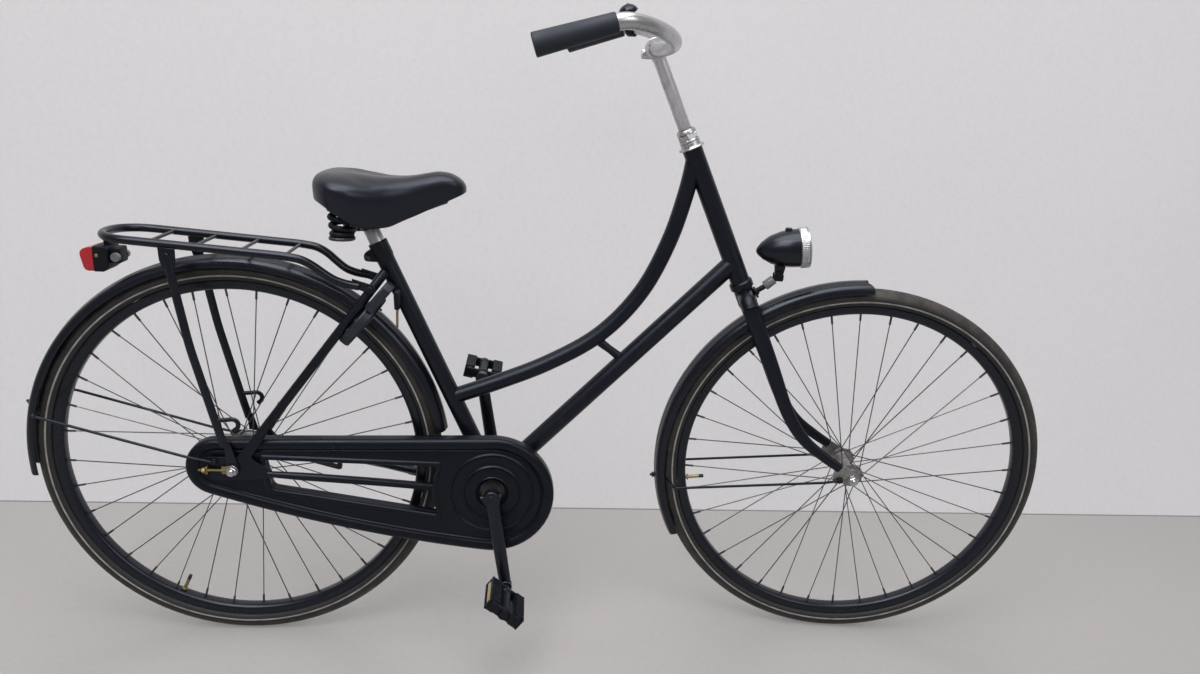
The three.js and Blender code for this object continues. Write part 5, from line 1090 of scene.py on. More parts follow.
class BIKE_OT_headlamp(bpy.types.Operator):
    """Makes the bullet headlamp with its ribbed ring, lens, knob and bracket"""

    bl_idname = "bike.headlamp"
    bl_label = "Headlamp"

    def execute(self, context):
        outside = [
            (0, 0), (3.4, 0.6), (7.4, 3.2), (14.8, 10.2), (24.4, 24.8), (30.6, 43.8), (32.6, 58), (33, 66),
            (33, 73),
        ]
        shell = turned("shell", [
            *outside, (30.4, 73), (29.6, 60), (27, 46), (20, 28), (8, 12), (0, 9),
        ], LAMP_REAR, LAMP_ALONG, 96, closed=False)
        knob_at = LAMP_REAR + LAMP_ALONG * 52.6
        knob = turned("knob", [
            (0, 30), (6.4, 30), (6.4, 34), (5.4, 36.6), (0, 37.4),
        ], knob_at, Z, 24, closed=False)
        ear = plate("ear", [
            (919, 735), (922, 708), (929, 704), (936, 708), (941, 738),
        ], -4.6, 4.6, edge=1, rounds=2)
        lamp = joined("lamp", [shell, knob, ear])
        dressed(lamp, "headlamp_shell", "headlamp", "gloss enamel", STEERED)
        start = LAMP_REAR + LAMP_ALONG * 73.3
        ring = turned("ring", [
            (30.8, 0), (33.6, 0), (34.6, 0.8), (34.6, 13.6), (35.5, 14.4), (35.5, 15.6), (34, 17), (30, 17),
            (28, 15.6), (28, 14.6), (30.8, 14),
        ], start, LAMP_ALONG, 96)
        rib = rod(
            "rib", start + LAMP_ALONG * 1.6 + Y * 34.4, start + LAMP_ALONG * 12.8 + Y * 34.4, 0.9, 0.3, 8,
        )
        ribs = [ring, rib]
        for index in range(1, LAMP_RIBS):
            turn = about(start, Matrix.Rotation(FULL_TURN * index / LAMP_RIBS, 4, LAMP_ALONG))
            ribs.append(copied(rib, "rib", turn))
        dressed(joined("ring", ribs), "headlamp_ring", "headlamp", "plated steel", STEERED)
        lens = turned("lens", [
            (0, 8), (10, 8.4), (20, 9.6), (28, 11.6), (29.6, 12), (29.6, 14.6), (26, 14.8), (12, 16),
            (0, 16.4),
        ], start, LAMP_ALONG, 72, closed=False)
        dressed(lens, "headlamp_lens", "headlamp", "clear lens", STEERED, 60)
        bowl = turned("bowl", [
            (0, -34), (9, -31), (18, -22), (24, -8), (27, 6), (27.8, 6), (24.8, -8.6), (18.6, -23),
            (9.2, -32.4), (0, -35.4),
        ], start, LAMP_ALONG, 64)
        fitted(bowl, "headlamp_reflector", "headlamp", "plated steel", (), STEERED, 60)
        face = Vector(head_at(-29.8, 17.3))
        foot = block("foot", (4, 24, 15), face + TUBE_FORE * 2, 1.2, math.radians(-25))
        screw = turned("screw", [
            (0, 0), (5.4, 0), (5.4, 2), (4, 3.4), (0, 3.8),
        ], face + TUBE_FORE * 4, TUBE_FORE, 24, closed=False)
        low = LAMP_FOOT + X * -6 + Z * -8
        arm = tube(
            "arm", eased([face + TUBE_FORE * 3 + TUBE_UP * 2, face.lerp(low, 0.5) + Z * -1, low], 6), 4.6,
            rounds=5,
        )
        cheeks = [plate("cheek", [
            (920, 703), (937, 703), (937, 711), (933, 717), (925, 717), (920, 711),
        ], *sorted((side * 5.6, side * 8.6)), edge=0.8, rounds=2) for side in (-1, 1)]
        base = block("base", (15, 17, 4), LAMP_FOOT + Z * -9, 1.4)
        bolt = rod("bolt", LAMP_FOOT + Y * -10, LAMP_FOOT + Y * 11, 2.5)
        head = turned("head", [
            (0, -11.2), (4, -11.2), (5, -10), (5, -8.8), (0, -8.8),
        ], LAMP_FOOT, Y, 24, closed=False)
        bracket = joined("bracket", [foot, screw, arm, *cheeks, base, bolt, head])
        dressed(bracket, "headlamp_bracket", "steering", "black moulding", STEERED)
        sleeve_from = face.lerp(low, 0.5) + Z * -0.6
        sleeve_to = face.lerp(low, 0.96) + Z * -0.2
        run = sleeve_to - sleeve_from
        sleeve = turned("sleeve", [
            (5, 0), (8, 0), (8.5, 1), (8.2, run.length - 1), (7.6, run.length), (5, run.length),
        ], sleeve_from, run, 32)
        fitted(sleeve, "headlamp_sleeve", "steering", "grey sleeve", (), STEERED, 40)
        return {"FINISHED"}


# Seat

SPRING_X = 191
SPRING_Y = 51
SPRING_LOW = 759.6
SPRING_RADIUS = 15.6
SPRING_SPREAD = 1.2
SPRING_PITCH = 13.8
SPRING_TURNS = 4
SPRING_RISING = 3
SEAT_CLAMP = Vector((219, 0, 779))


def spring_line(side):
    """The saddle spring's own line: half a flat turn, three rising turns, half a flat turn."""
    points = []
    count = SPRING_TURNS * 24
    for index in range(count + 1):
        turn = index * SPRING_TURNS / count
        climbed = min(max(turn - 0.5, 0), SPRING_RISING)
        angle = FULL_TURN * turn
        reach = SPRING_RADIUS + SPRING_SPREAD * climbed
        x = SPRING_X + reach * math.cos(angle)
        y = SPRING_Y + reach * math.sin(angle)
        points.append(Vector((x, side * y, SPRING_LOW + SPRING_PITCH * climbed)))
    return points


def share_at(table, t):
    """A smooth line through a table of shares, without overshoot."""
    slopes = [(b[1] - a[1]) / (b[0] - a[0]) for a, b in zip(table, table[1:])]
    turns = [slopes[0]]
    for low, high in zip(slopes, slopes[1:]):
        turns.append(2 * low * high / (low + high) if low * high > 0 else 0)
    turns.append(slopes[-1])
    index = next((i for i, (stop, _) in enumerate(table[1:]) if t <= stop), len(table) - 2)
    (start, low), (end, high) = table[index], table[index + 1]
    run = end - start
    step = min(max((t - start) / run, 0), 1)
    square, cube = step * step, step * step * step
    return (
        low * (2 * cube - 3 * square + 1) + high * (3 * square - 2 * cube)
        + run * (turns[index] * (cube - 2 * square + step) + turns[index + 1] * (cube - square))
    )


WIDTH_SHARES = [
    (0, 0.02), (0.004, 0.24), (0.012, 0.42), (0.03, 0.6), (0.06, 0.74), (0.1, 0.86), (0.15, 0.96), (0.22, 1),
    (0.28, 0.98), (0.34, 0.9), (0.42, 0.76), (0.5, 0.6), (0.58, 0.48), (0.66, 0.4), (0.76, 0.34),
    (0.86, 0.31), (0.93, 0.27), (0.97, 0.2), (0.99, 0.13), (1, 0.02),
]
TOP_SHARES = [
    (0, 0.74), (0.004, 0.79), (0.012, 0.835), (0.03, 0.88), (0.06, 0.915), (0.11, 0.94), (0.2, 0.94),
    (0.36, 0.9), (0.5, 0.865), (0.6, 0.875), (0.72, 0.93), (0.82, 0.975), (0.88, 0.96), (0.93, 0.91),
    (0.97, 0.84), (0.99, 0.78), (1, 0.72),
]
SKIRT_SHARES = [
    (0, 0.5), (0.02, 0.46), (0.07, 0.42), (0.12, 0.36), (0.18, 0.27), (0.25, 0.15), (0.33, 0.05),
    (0.42, 0.01), (0.5, 0.03), (0.57, 0.1), (0.68, 0.22), (0.82, 0.4), (0.94, 0.55), (0.985, 0.61),
    (1, 0.64),
]
DENT_SHARES = [(0, 0), (0.12, 0), (0.3, 1), (0.62, 0.8), (0.8, 0), (1, 0)]
SADDLE_REAR = 142
SADDLE_LENGTH = 243.5
SADDLE_LOW = 768
SADDLE_DEPTH = 95
SADDLE_HALF_WIDTH = 102.5


def saddle_skin(rings, around):
    """The cushion's skin: sections across, from the tail to the nose, closed under by its lip."""
    points = []
    faces = []
    for i in range(rings + 1):
        t = 0.5 - 0.5 * math.cos(math.pi * i / rings)
        half = SADDLE_HALF_WIDTH * share_at(WIDTH_SHARES, t)
        top = SADDLE_LOW + SADDLE_DEPTH * share_at(TOP_SHARES, t)
        low = SADDLE_LOW + SADDLE_DEPTH * share_at(SKIRT_SHARES, t)
        shoulder = top - (top - low) * 0.42
        for k in range(around):
            angle = -0.5 + (math.pi + 1) * k / (around - 1)
            rise = math.sin(angle)
            across = math.copysign(abs(math.cos(angle)) ** 0.8, math.cos(angle))
            if rise > 0:
                z = shoulder + (top - shoulder) * rise ** 0.85
            else:
                across *= 1 + rise * 0.12
                z = shoulder + (shoulder - low) * rise / math.sin(0.5)
            dent = 2.6 * math.exp(-((across / 0.16) ** 2)) * share_at(DENT_SHARES, t) if rise > 0 else 0
            along = (t - 0.3 - 0.22 * (1 - max(rise, 0))) / 0.05
            crease = 2.6 * math.exp(-(along ** 2)) * max(0, 1 - abs(abs(across) - 0.72) / 0.34)
            points.append(Vector(
                (SADDLE_REAR + SADDLE_LENGTH * t, half * across * (1 - 0.012 * crease), z - dent - crease)
            ) * MM)
    for i in range(rings):
        for k in range(around - 1):
            a = i * around + k
            faces.append((a, a + 1, a + around + 1, a + around))
    return built("cover", points, faces)


def make_saddle():
    skin = saddle_skin(56, 44)
    with editing(skin):
        bpy.ops.mesh.normals_make_consistent(inside=False)
    modified(skin, "SMOOTH", factor=0.5, iterations=2)
    modified(skin, "SOLIDIFY", thickness=4.4 * MM, offset=-1, use_rim=True)
    modified(skin, "SUBSURF", levels=1, render_levels=1)
    dressed(skin, "saddle_cover", "saddle", "saddle vinyl", angle=60)
    moulding = "black moulding"
    for label, side in SIDES.items():
        coil = tube("spring", spring_line(side), 4.6, rounds=4)
        dressed(coil, f"saddle_spring_{label}", "saddle", moulding, angle=60)
    parts = []
    clamp = turned("clamp", [
        (0, -27), (11, -27), (12, -26), (12, -19), (10.4, -18), (10.4, 18), (12, 19), (12, 26), (11, 27),
        (0, 27),
    ], SEAT_CLAMP, steps=40, closed=False)
    sleeve = turned("sleeve", [
        (11.5, 503.4), (14.6, 503.4), (15.5, 504.4), (15.5, 529.4), (14.6, 530.5), (11.5, 530.5),
    ], BRACKET, TUBE_UP, 40)
    parts += [clamp, sleeve]
    for side in (-1, 1):
        centre = SEAT_CLAMP + Y * side * 27
        parts.append(hexagon("nut", centre, centre + Y * side * 6, 8))
        rail = eased([
            (352, side * 9, 812.7), (292, side * 18, 790.7), (231, side * 20, 779), (207, side * 20, 777),
            (199, side * 20, 761), (194, side * 27, 751), (SPRING_X, side * 40, 750),
            (SPRING_X, side * SPRING_Y, 750),
        ], 6)
        parts.append(tube("rail", rail, 3.9, rounds=4))
        parts.append(turned("plate", [
            (0, 0), (20.4, 0), (21, 0.8), (21, 3.6), (20, 5), (6, 5), (5, 6), (0, 6),
        ], Vector((SPRING_X, side * SPRING_Y, 750)), Z, 48, closed=False))
    nose = rod("nose", (352, -12, 812.7), (352, 12, 812.7), 4)
    frame_piece = joined("rails", [*parts, nose])
    dressed(frame_piece, "saddle_frame", "saddle", "dark steel")


class BIKE_OT_saddle(bpy.types.Operator):
    """Makes the padded saddle with its rails and springs"""

    bl_idname = "bike.saddle"
    bl_label = "Saddle"

    def execute(self, context):
        make_saddle()
        return {"FINISHED"}


# Chain case

CASE_REAR = Vector((-31.5, 0, 346))
CASE_FRONT = Vector((441, 0, 299.5))
CASE_REAR_RADIUS = 52
CASE_FRONT_RADIUS = 109
CASE_BOW = 12


def belt(shrink):
    """The case's outline around its two ends, drawn in by a distance; its lower run bows down."""
    run = CASE_FRONT - CASE_REAR
    steps = 28
    slope = math.atan2(run.z, run.x)
    lean = math.asin((CASE_FRONT_RADIUS - CASE_REAR_RADIUS) / run.length)
    bend = math.atan2(4 * CASE_BOW, run.length)
    quarter = math.pi / 2
    ends = []
    for centre, radius, start, end, count in (
        (CASE_FRONT, CASE_FRONT_RADIUS, slope - quarter - lean + bend, slope + quarter + lean, steps),
        (CASE_REAR, CASE_REAR_RADIUS, slope + quarter + lean, slope + 3 * quarter - lean - bend, steps - 8),
    ):
        reach = radius - shrink
        turns = [start + (end - start) * index / count for index in range(count + 1)]
        ends.append([centre + X * reach * math.cos(a) + Z * reach * math.sin(a) for a in turns])
    low, high = ends[1][-1], ends[0][0]
    down = Vector((high.z - low.z, 0, low.x - high.x)).normalized()
    shares = [index / steps for index in range(1, steps)]
    bowed = [low.lerp(high, share) + down * 4 * CASE_BOW * share * (1 - share) for share in shares]
    return [(p.x, p.z) for p in (*ends[0], *ends[1], *bowed)]


def window(shrink):
    """The case's opening, drawn in by a distance, with round corners."""
    corners = [
        (49 + shrink, 0, 362 - shrink), (60 + shrink, 0, 309 + shrink), (344 - shrink, 0, 263 + shrink),
        (337 - shrink, 0, 285), (334 - shrink, 0, 306), (336.5 - shrink, 0, 330),
        (344 - shrink, 0, 354 - shrink),
    ]
    start = (Vector(corners[-1]) + Vector(corners[0])) / 2
    return [(p.x, p.z) for p in bent([start, *corners, start], 8)[:-1]]


def circle(centre, radius, count=48):
    return [(
        centre.x + radius * math.cos(FULL_TURN * i / count),
        centre.z + radius * math.sin(FULL_TURN * i / count),
    ) for i in range(count)]


def skinned(name, rings):
    """Closed rings with the same number of points, one after another, joined by faces."""
    points = [Vector(p) * MM for ring in rings for p in ring]
    count = len(rings[0])
    faces = [
        (i * count + k, i * count + (k + 1) % count, (i + 1) * count + (k + 1) % count, (i + 1) * count + k)
        for i in range(len(rings) - 1) for k in range(count)
    ]
    return built(name, points, faces)


def flat_face(name, outline, holes, y):
    """A flat sheet in the X-Z plane."""
    lines = [[(x, z, 0) for x, z in line] for line in (outline, *holes)]
    piece = drawn(name, lines, closed=True)
    piece.data.dimensions = "2D"
    piece.data.fill_mode = "FRONT"
    piece.rotation_euler = (math.pi / 2, 0, 0)
    piece.location = (0, y * MM, 0)
    return to_mesh(piece)


def case_half(name, side_rings, window_rings, disc_rings, face_y):
    """The case's outer half: a rolled side wall, a face with rings round the crank and a window wall."""
    outline = [(x, z) for x, _, z in side_rings[-1]]
    inner = [(x, z) for x, _, z in window_rings[-1]]
    hub = [(x, z) for x, _, z in disc_rings[0]]
    axle_hole = circle(REAR_AXLE, 16)
    face = flat_face(name, outline, [inner, hub, axle_hole], face_y)
    walls = (("side", side_rings), ("window", window_rings), ("disc", disc_rings))
    half = joined(name, [face, *(skinned(label, rings) for label, rings in walls)])
    with editing(half):
        sew(2 * MERGE_GAP)
    return half


def ring_at(line, y):
    return [(x, y, z) for x, z in line]


class BIKE_OT_chain_case(bpy.types.Operator):
    """Makes the two moulded halves of the chain case, and gives the chain, chainring and rear sprocket a
    dark steel finish
    """

    bl_idname = "bike.chain_case"
    bl_label = "Chain case"

    def execute(self, context):
        moulding = "case moulding"
        side = [
            (0, -46.2), (0, -50), (0.5, -53), (1.8, -55.6), (4, -57.4), (7.5, -58.6), (11, -58.8),
            (14.5, -58.2), (17.4, -56.6), (19, -55), (20.4, -54.6), (21, -55), (21.8, -56.8), (22.8, -57.2),
            (23.6, -56.4), (24.2, -54.9),
        ]
        sides = [ring_at(belt(shrink), y) for shrink, y in side]
        rim = [
            (0, -46.2), (0, -53), (-0.6, -55.6), (-2, -57.2), (-4.4, -58), (-7, -57.6), (-9, -56),
            (-10, -55), (-10.8, -54.9),
        ]
        windows = [ring_at(window(shrink), y) for shrink, y in rim]
        disc = [
            (76.4, -54.9), (75.4, -55.4), (74.4, -57), (73.2, -57.6), (72, -57), (71, -55.2), (70, -54.8),
            (53.4, -55), (52.4, -55.6), (51.4, -57.2), (50, -57.8), (48.6, -57.2), (47.6, -55.4),
            (46.6, -55), (31, -55.8), (30, -57), (29, -57.2), (28, -56), (27, -52.4), (25.4, -51.4),
            (22.6, -51.2), (22, -50),
        ]
        discs = [ring_at(circle(BRACKET, radius, 72), y) for radius, y in disc]
        outer = case_half("outer", sides, windows, discs, -54.9)
        dressed(outer, "chain_case_outer", "frame", moulding, angle=40)
        inner_face = plate(
            "inner", belt(0), -45.8, -34.6, [window(0), circle(BRACKET, 23.5), circle(REAR_AXLE, 31)],
            edge=1.4, rounds=2,
        )
        dressed(inner_face, "chain_case_inner", "frame", moulding)
        for name in ("chain", "chainring", "rear_sprocket"):
            coated(NODES[name], "dark steel")
        return {"FINISHED"}


# Cranks and pedals

CRANK_LENGTH = 170
PEDAL_OUT = 93
PEDAL_MIDDLE = 46


def make_crank(label):
    side = SIDES[label]
    down = side * CRANK_LENGTH
    eye = turned("eye", [
        (0, 69), (14, 69), (15, 70), (15, 84), (14, 85), (0, 85),
    ], ORIGIN, Y * side, 48, closed=False)
    arm = tube("arm", eased([
        (0, side * 77, 0), (0, side * 77.4, down * 0.1), (0, side * 80, down * 0.5),
        (0, side * 83.5, down * 0.92), (0, side * 85.5, down),
    ], 2), 12.5, radii=[12.5, 12.6, 12.4, 12, 11.5, 11.1, 10.8, 10.6, 10.4], flat=0.66, rounds=8)
    boss = turned("boss", [
        (0, 78), (10.6, 78), (11.5, 79), (11.5, 92), (10.6, 93), (0, 93),
    ], Vector((0, 0, down)), Y * side, 40, closed=False)
    cotter = rod("cotter", (-19, side * 77, 3), (19, side * 77, 3), 4)
    nut = hexagon("nut", (13.6, side * 77, 3), (18, side * 77, 3), 6.4)
    cap = turned("cap", [
        (0, 85.2), (7, 85.2), (7.6, 84.6), (7.6, 84), (0, 84),
    ], ORIGIN, Y * side, 32, closed=False)
    crank = joined("crank", [eye, arm, boss, cotter, nut, cap])
    dressed(crank, f"crank_{label}", "crankset", "gloss enamel", CRANKED, 40)
    spindle = turned("spindle", [
        (0, 90), (6.2, 90), (6.2, 101), (5, 102), (4.6, 172), (0, 173),
    ], Vector((0, 0, down)), Y * side, 24, closed=False)
    fitted(spindle, f"pedal_spindle_{label}", "crankset", "dark steel", (), CRANKED)


def make_pedal(label):
    """A block pedal: two ribbed treads with a reflector in each, on two end plates and a barrel."""
    side = SIDES[label]
    at_end = Matrix.Translation(Vector((0, side * PEDAL_OUT, side * CRANK_LENGTH)) * MM)
    place = CRANKED @ at_end @ Matrix.Rotation(PEDAL_TURNS[label] - CRANK_TURN, 4, "Y")
    parts = []
    for fore in (-1, 1):
        parts.append(block("tread", (17, 72, 21), (fore * 25.5, side * PEDAL_MIDDLE, 0), 5))
        for face in (-1, 1):
            for rib in range(9):
                parts.append(
                    block("rib", (17.6, 4.2, 4.4), (fore * 25.4, side * (16 + rib * 7.5), face * 10.8), 1.2)
                )
        for end in (-1, 1):
            parts.append(
                block("post", (3.2, 7, 23), (fore * 33.4, side * (PEDAL_MIDDLE + end * 32.5), 0), 1)
            )
        parts.append(block("lip", (3.2, 72, 4), (fore * 33.4, side * PEDAL_MIDDLE, 9.4), 0.9))
        parts.append(block("lip", (3.2, 72, 4), (fore * 33.4, side * PEDAL_MIDDLE, -9.4), 0.9))
    for y in (11.5, 80.5):
        parts.append(block("end", (52, 5, 18), (0, side * y, 0), 2))
    barrel = turned("barrel", [
        (7, 9), (10.4, 9), (11, 9.8), (11, 20), (9.4, 22), (9.4, 70), (11, 72), (11, 82), (10.4, 83),
        (7, 83),
    ], ORIGIN, Y * side, 40)
    cap = turned("cap", [
        (0, 85), (6, 84.8), (8.4, 84), (9, 82.6), (0, 82.6),
    ], ORIGIN, Y * side, 32, closed=False)
    pedal = joined("pedal", [*parts, barrel, cap])
    body = f"pedal_{label[0]}"
    dressed(pedal, f"pedal_{label}", body, "black moulding", place)
    lenses = [
        block("reflector", (1.6, 56, 8), (fore * 34.2, side * PEDAL_MIDDLE, 0), 0.5) for fore in (-1, 1)
    ]
    fitted(
        joined("reflectors", lenses), f"pedal_reflectors_{label}", body, "amber lens", (), place,
    )


class BIKE_OT_cranks(bpy.types.Operator):
    """Makes the cottered cranks and the block pedals"""

    bl_idname = "bike.cranks"
    bl_label = "Cranks and pedals"

    def execute(self, context):
        for label in SIDES:
            make_crank(label)
            make_pedal(label)
        coated(NODES["crank_axle"], "dark steel")
        return {"FINISHED"}


# Mudguards

GUARD_SECTION = [
    (342.4, 24.6), (343, 25), (346, 24.8), (351, 24), (355, 21.6), (357.4, 18.4), (358.8, 15), (359.6, 11),
    (360, 8.4), (360.9, 6.6), (361.5, 4), (361.7, 0),
]
GUARD_HALF_WIDTH = 24
GUARD_SHEET = 1.1
ROUNDED_REACH = math.radians(3)
ROUNDED_TURN = math.radians(2.4)


def make_guard(name, centre, place, body, span, rounded):
    """A rolled blade with a raised crown, turned through its arc, with one end rounded over its width."""
    low, high = (math.radians(a) for a in span)
    start = Vector((math.cos(low), 0, math.sin(low)))
    outer = both_ways(GUARD_SECTION)
    steps = int(math.degrees(high - low) * 0.9)
    piece = to_mesh(drawn("guard", [[centre + start * r + Y * y for r, y in outer]]))
    with editing(piece):
        bpy.ops.mesh.spin(steps=steps, angle=high - low, center=centre * MM, axis=Y)
        sew(MERGE_GAP)
    for vertex in piece.data.vertices:
        offset = vertex.co - centre * MM
        angle = math.atan2(offset.z, offset.x) % FULL_TURN
        near = 1 - min(abs(angle - (high if rounded > 0 else low)) / ROUNDED_REACH, 1)
        if near > 0:
            share = 1 - min(abs(offset.y) / (GUARD_HALF_WIDTH * MM), 1)
            turn = Matrix.Rotation(ROUNDED_TURN * near * share * rounded, 3, "Y")
            vertex.co = turn @ offset + centre * MM
    modified(piece, "SOLIDIFY", thickness=GUARD_SHEET * MM, offset=-1, use_rim=True)
    dressed(piece, f"{name}_mudguard", body, "gloss enamel", place, 40)


def make_guard_stay(name, centre, place, body, angle, eye, knee_y, knees, eye_in):
    """A wire stay over the wheel, with a flattened eye and bolt at each end and a nut on the crown."""
    hoop = [(355.9, 0), (354, 10), (350.2, 15.7), (345, 19.1), (338, 21.2), (333, 30)]
    half = [on_wheel(centre, r, angle, y) for r, y in hoop]
    half += [Vector((x, knee_y, z)) for x, z in knees]
    half.append(Vector((eye[0], knee_y, eye[1])))
    parts = [tube("wire", bent(across(half), 9, 5), 2.4, rounds=3)]
    for side in (-1, 1):
        at = Vector((eye[0], 0, eye[1]))
        parts.append(turned("eye", [
            (2.7, eye_in), (5.8, eye_in), (6.2, eye_in + 0.4), (6.2, eye_in + 2.6), (5.8, eye_in + 3),
            (2.7, eye_in + 3),
        ], at, Y * side, 32))
        parts.append(hexagon("bolt", at + Y * side * (eye_in + 3), at + Y * side * (eye_in + 6.4), 5))
        parts.append(rod("pin", at + Y * side * (eye_in - 4.6), at + Y * side * (eye_in + 3), 2.5, 0.3, 16))
    out = (on_wheel(centre, 1, angle) - centre).normalized()
    parts.append(hexagon("nut", centre + out * 361.9, centre + out * 366.4, 5))
    parts.append(rod("screw", centre + out * 355, centre + out * 369.6, 2.4, 0.3, 16))
    stay = joined("stay", parts)
    dressed(stay, f"{name}_mudguard_stay", body, "satin enamel", place, 40)


class BIKE_OT_mudguards(bpy.types.Operator):
    """Makes both mudguards and their wire stays"""

    bl_idname = "bike.mudguards"
    bl_label = "Mudguards"

    def execute(self, context):
        make_guard("rear", REAR_AXLE, NO_TURN, "frame", (9.5, 186), 1)
        make_guard("front", FRONT_AXLE, STEERED, "steering", (91, 206.5), -1)
        make_guard_stay(
            "rear", REAR_AXLE, NO_TURN, "frame", 165.5, (-31, 361), 66.4, [(-315, 439), (-74, 370)], 63.6,
        )
        make_guard_stay(
            "front", FRONT_AXLE, STEERED, "steering", 186.8, (1075, 347), 57.4, [(776, 309), (1050, 341)],
            54.6,
        )
        return {"FINISHED"}


# Carrier and tail lamp

RAIL_HEIGHT = 727
RAIL_FALL = 0.067
RAIL_HALF_WIDTH = 57
RAIL_REAR = -196
RAIL_CORNER = 50
BAR_FIRST = 99
BAR_STEP = 70


def rail_height(x):
    return RAIL_HEIGHT - RAIL_FALL * x


def make_carrier():
    half = [Vector((RAIL_REAR, 0, rail_height(RAIL_REAR)))]
    for degrees in (90, 75, 60, 45, 30, 15, 0):
        angle = math.radians(degrees)
        x = RAIL_REAR + RAIL_CORNER * (1 - math.sin(angle))
        y = RAIL_HALF_WIDTH - RAIL_CORNER * (1 - math.cos(angle))
        half.append(Vector((x, y, rail_height(x))))
    front = (
        (126, 57, 716), (144, 55, 706), (160, 51, 692.5), (176, 47, 681), (194, 45.5, 675), (215, 45.5, 672),
    )
    half += [Vector((BAR_FIRST, RAIL_HALF_WIDTH, rail_height(BAR_FIRST))), *(Vector(p) for p in front)]
    parts = [tube("rail", bent(across(half), 14, 4), 7, rounds=6)]
    for index in range(4):
        x = BAR_FIRST - BAR_STEP * index
        bar = [(x, y, rail_height(x) + (0 if y else 0.3)) for y in (-RAIL_HALF_WIDTH, 0, RAIL_HALF_WIDTH)]
        parts.append(tube("bar", bar, 3, rounds=3))
    for side in (-1, 1):
        stops = ((-80, 63.5, 716), (-77, 65, 694), (-55, 67, 567), (-23, 67, 437), (-11, 67, 391))
        leg = [Vector((x, side * y, z)) for x, y, z in stops]
        parts.append(tube("leg", bent(leg, 24, 6), 7.2, flat=0.5, rounds=5))
        low, high = sorted((side * 61, side * 65.4))
        bracket = [(-93, 729), (-92, 708), (-86.6, 692), (-70, 692), (-67.4, 708), (-67, 727)]
        parts.append(plate("bracket", bracket, low, high, edge=1.2, rounds=2))
        low, high = sorted((side * 63.6, side * 66.6))
        foot = [
            (-8, 401), (-14, 396), (-12, 380), (-10.4, 352), (-10, 342), (-5, 338.4), (0, 337), (5, 338.4),
            (10, 342), (10.6, 352), (-1, 392), (-3, 400),
        ]
        parts.append(plate("foot", foot, low, high, edge=0.8, rounds=2))
        hook_stops = ((-22, 438), (-6, 439.4), (7, 441), (14, 436), (14, 426), (6, 420))
        hook = bent([(x, side * 67, z) for x, z in hook_stops], 6, 4)
        parts.append(tube("hook", hook, 4, flat=0.7, rounds=4))
        low, high = sorted((side * 41.5, side * 44.5))
        tab = [(203, 684), (203, 670), (230, 659.4), (236, 660), (241, 665), (240, 671), (234, 675)]
        parts.append(plate("tab", tab, low, high, edge=0.8, rounds=2))
        parts.append(hexagon("bolt", (231, side * 44.5, 667), (231, side * 48.5, 667), 5.6))
        parts.append(hexagon("screw", (-80, side * 65, 716), (-80, side * 68.6, 716), 4.6))
    carrier = joined("carrier", parts)
    dressed(carrier, "carrier", "frame", "gloss enamel", angle=40)


def make_tail_lamp():
    outline = [
        (-192, 717), (-194, 718), (-212, 718), (-212, 676), (-198, 676), (-190, 682), (-189, 690),
        (-189, 712),
    ]
    body = plate("housing", outline, -24, 24, edge=2.2, rounds=3)
    back = block("back", (18, 30, 26), (-182, 0, 702), 3)
    neck = block("neck", (9, 18, 17), (-196, 0, 725), 2)
    housing = joined("housing", [body, back, neck])
    dressed(housing, "tail_lamp_housing", "frame", "black moulding")
    outline = [
        (-212.4, 717), (-221, 716), (-229, 713), (-233, 708), (-233.4, 702), (-229, 682), (-226, 678),
        (-222, 676.6), (-212.4, 676.6),
    ]
    lens = plate("lens", outline, -22.4, 22.4, edge=2, rounds=3)
    ribs = [block("rib", (1.4, 38, 1.2), (-231.6 + 0.22 * 3.1 * i, 0, 703 - 3.1 * i), 0.4) for i in range(7)]
    lens = joined("lens", [lens, *ribs])
    dressed(lens, "tail_lamp_lens", "frame", "red lens")
    screws = [turned("screw", [
        (0, 24), (3, 24), (3, 25), (2, 25.6), (0, 25.6),
    ], (-206, 0, 703), Y * side, 20, closed=False) for side in (-1, 1)]
    fitted(joined("screws", screws), "tail_lamp_screws", "frame", "yellow brass")
    drums = [turned("drum", [
        (0, 14), (6.6, 14), (7.4, 15), (7.4, 20), (6.6, 21.4), (3, 21.8), (0, 21.8),
    ], (-179, 0, 700), Y * side, 40, closed=False) for side in (-1, 1)]
    fitted(joined("drums", drums), "tail_lamp_terminals", "frame", "grey sleeve")


class BIKE_OT_carrier(bpy.types.Operator):
    """Makes the rear carrier and the tail lamp under its rail"""

    bl_idname = "bike.carrier"
    bl_label = "Carrier and tail lamp"

    def execute(self, context):
        make_carrier()
        make_tail_lamp()
        return {"FINISHED"}


# Ring lock, brake arm and chain tensioner

LOCK_OUTER = 54.5
LOCK_INNER = 38.5
LOCK_MIDDLE = 45.5
BRAKE_STRAP = Vector((152, 0, 300))
THREAD_PITCH = 0.6


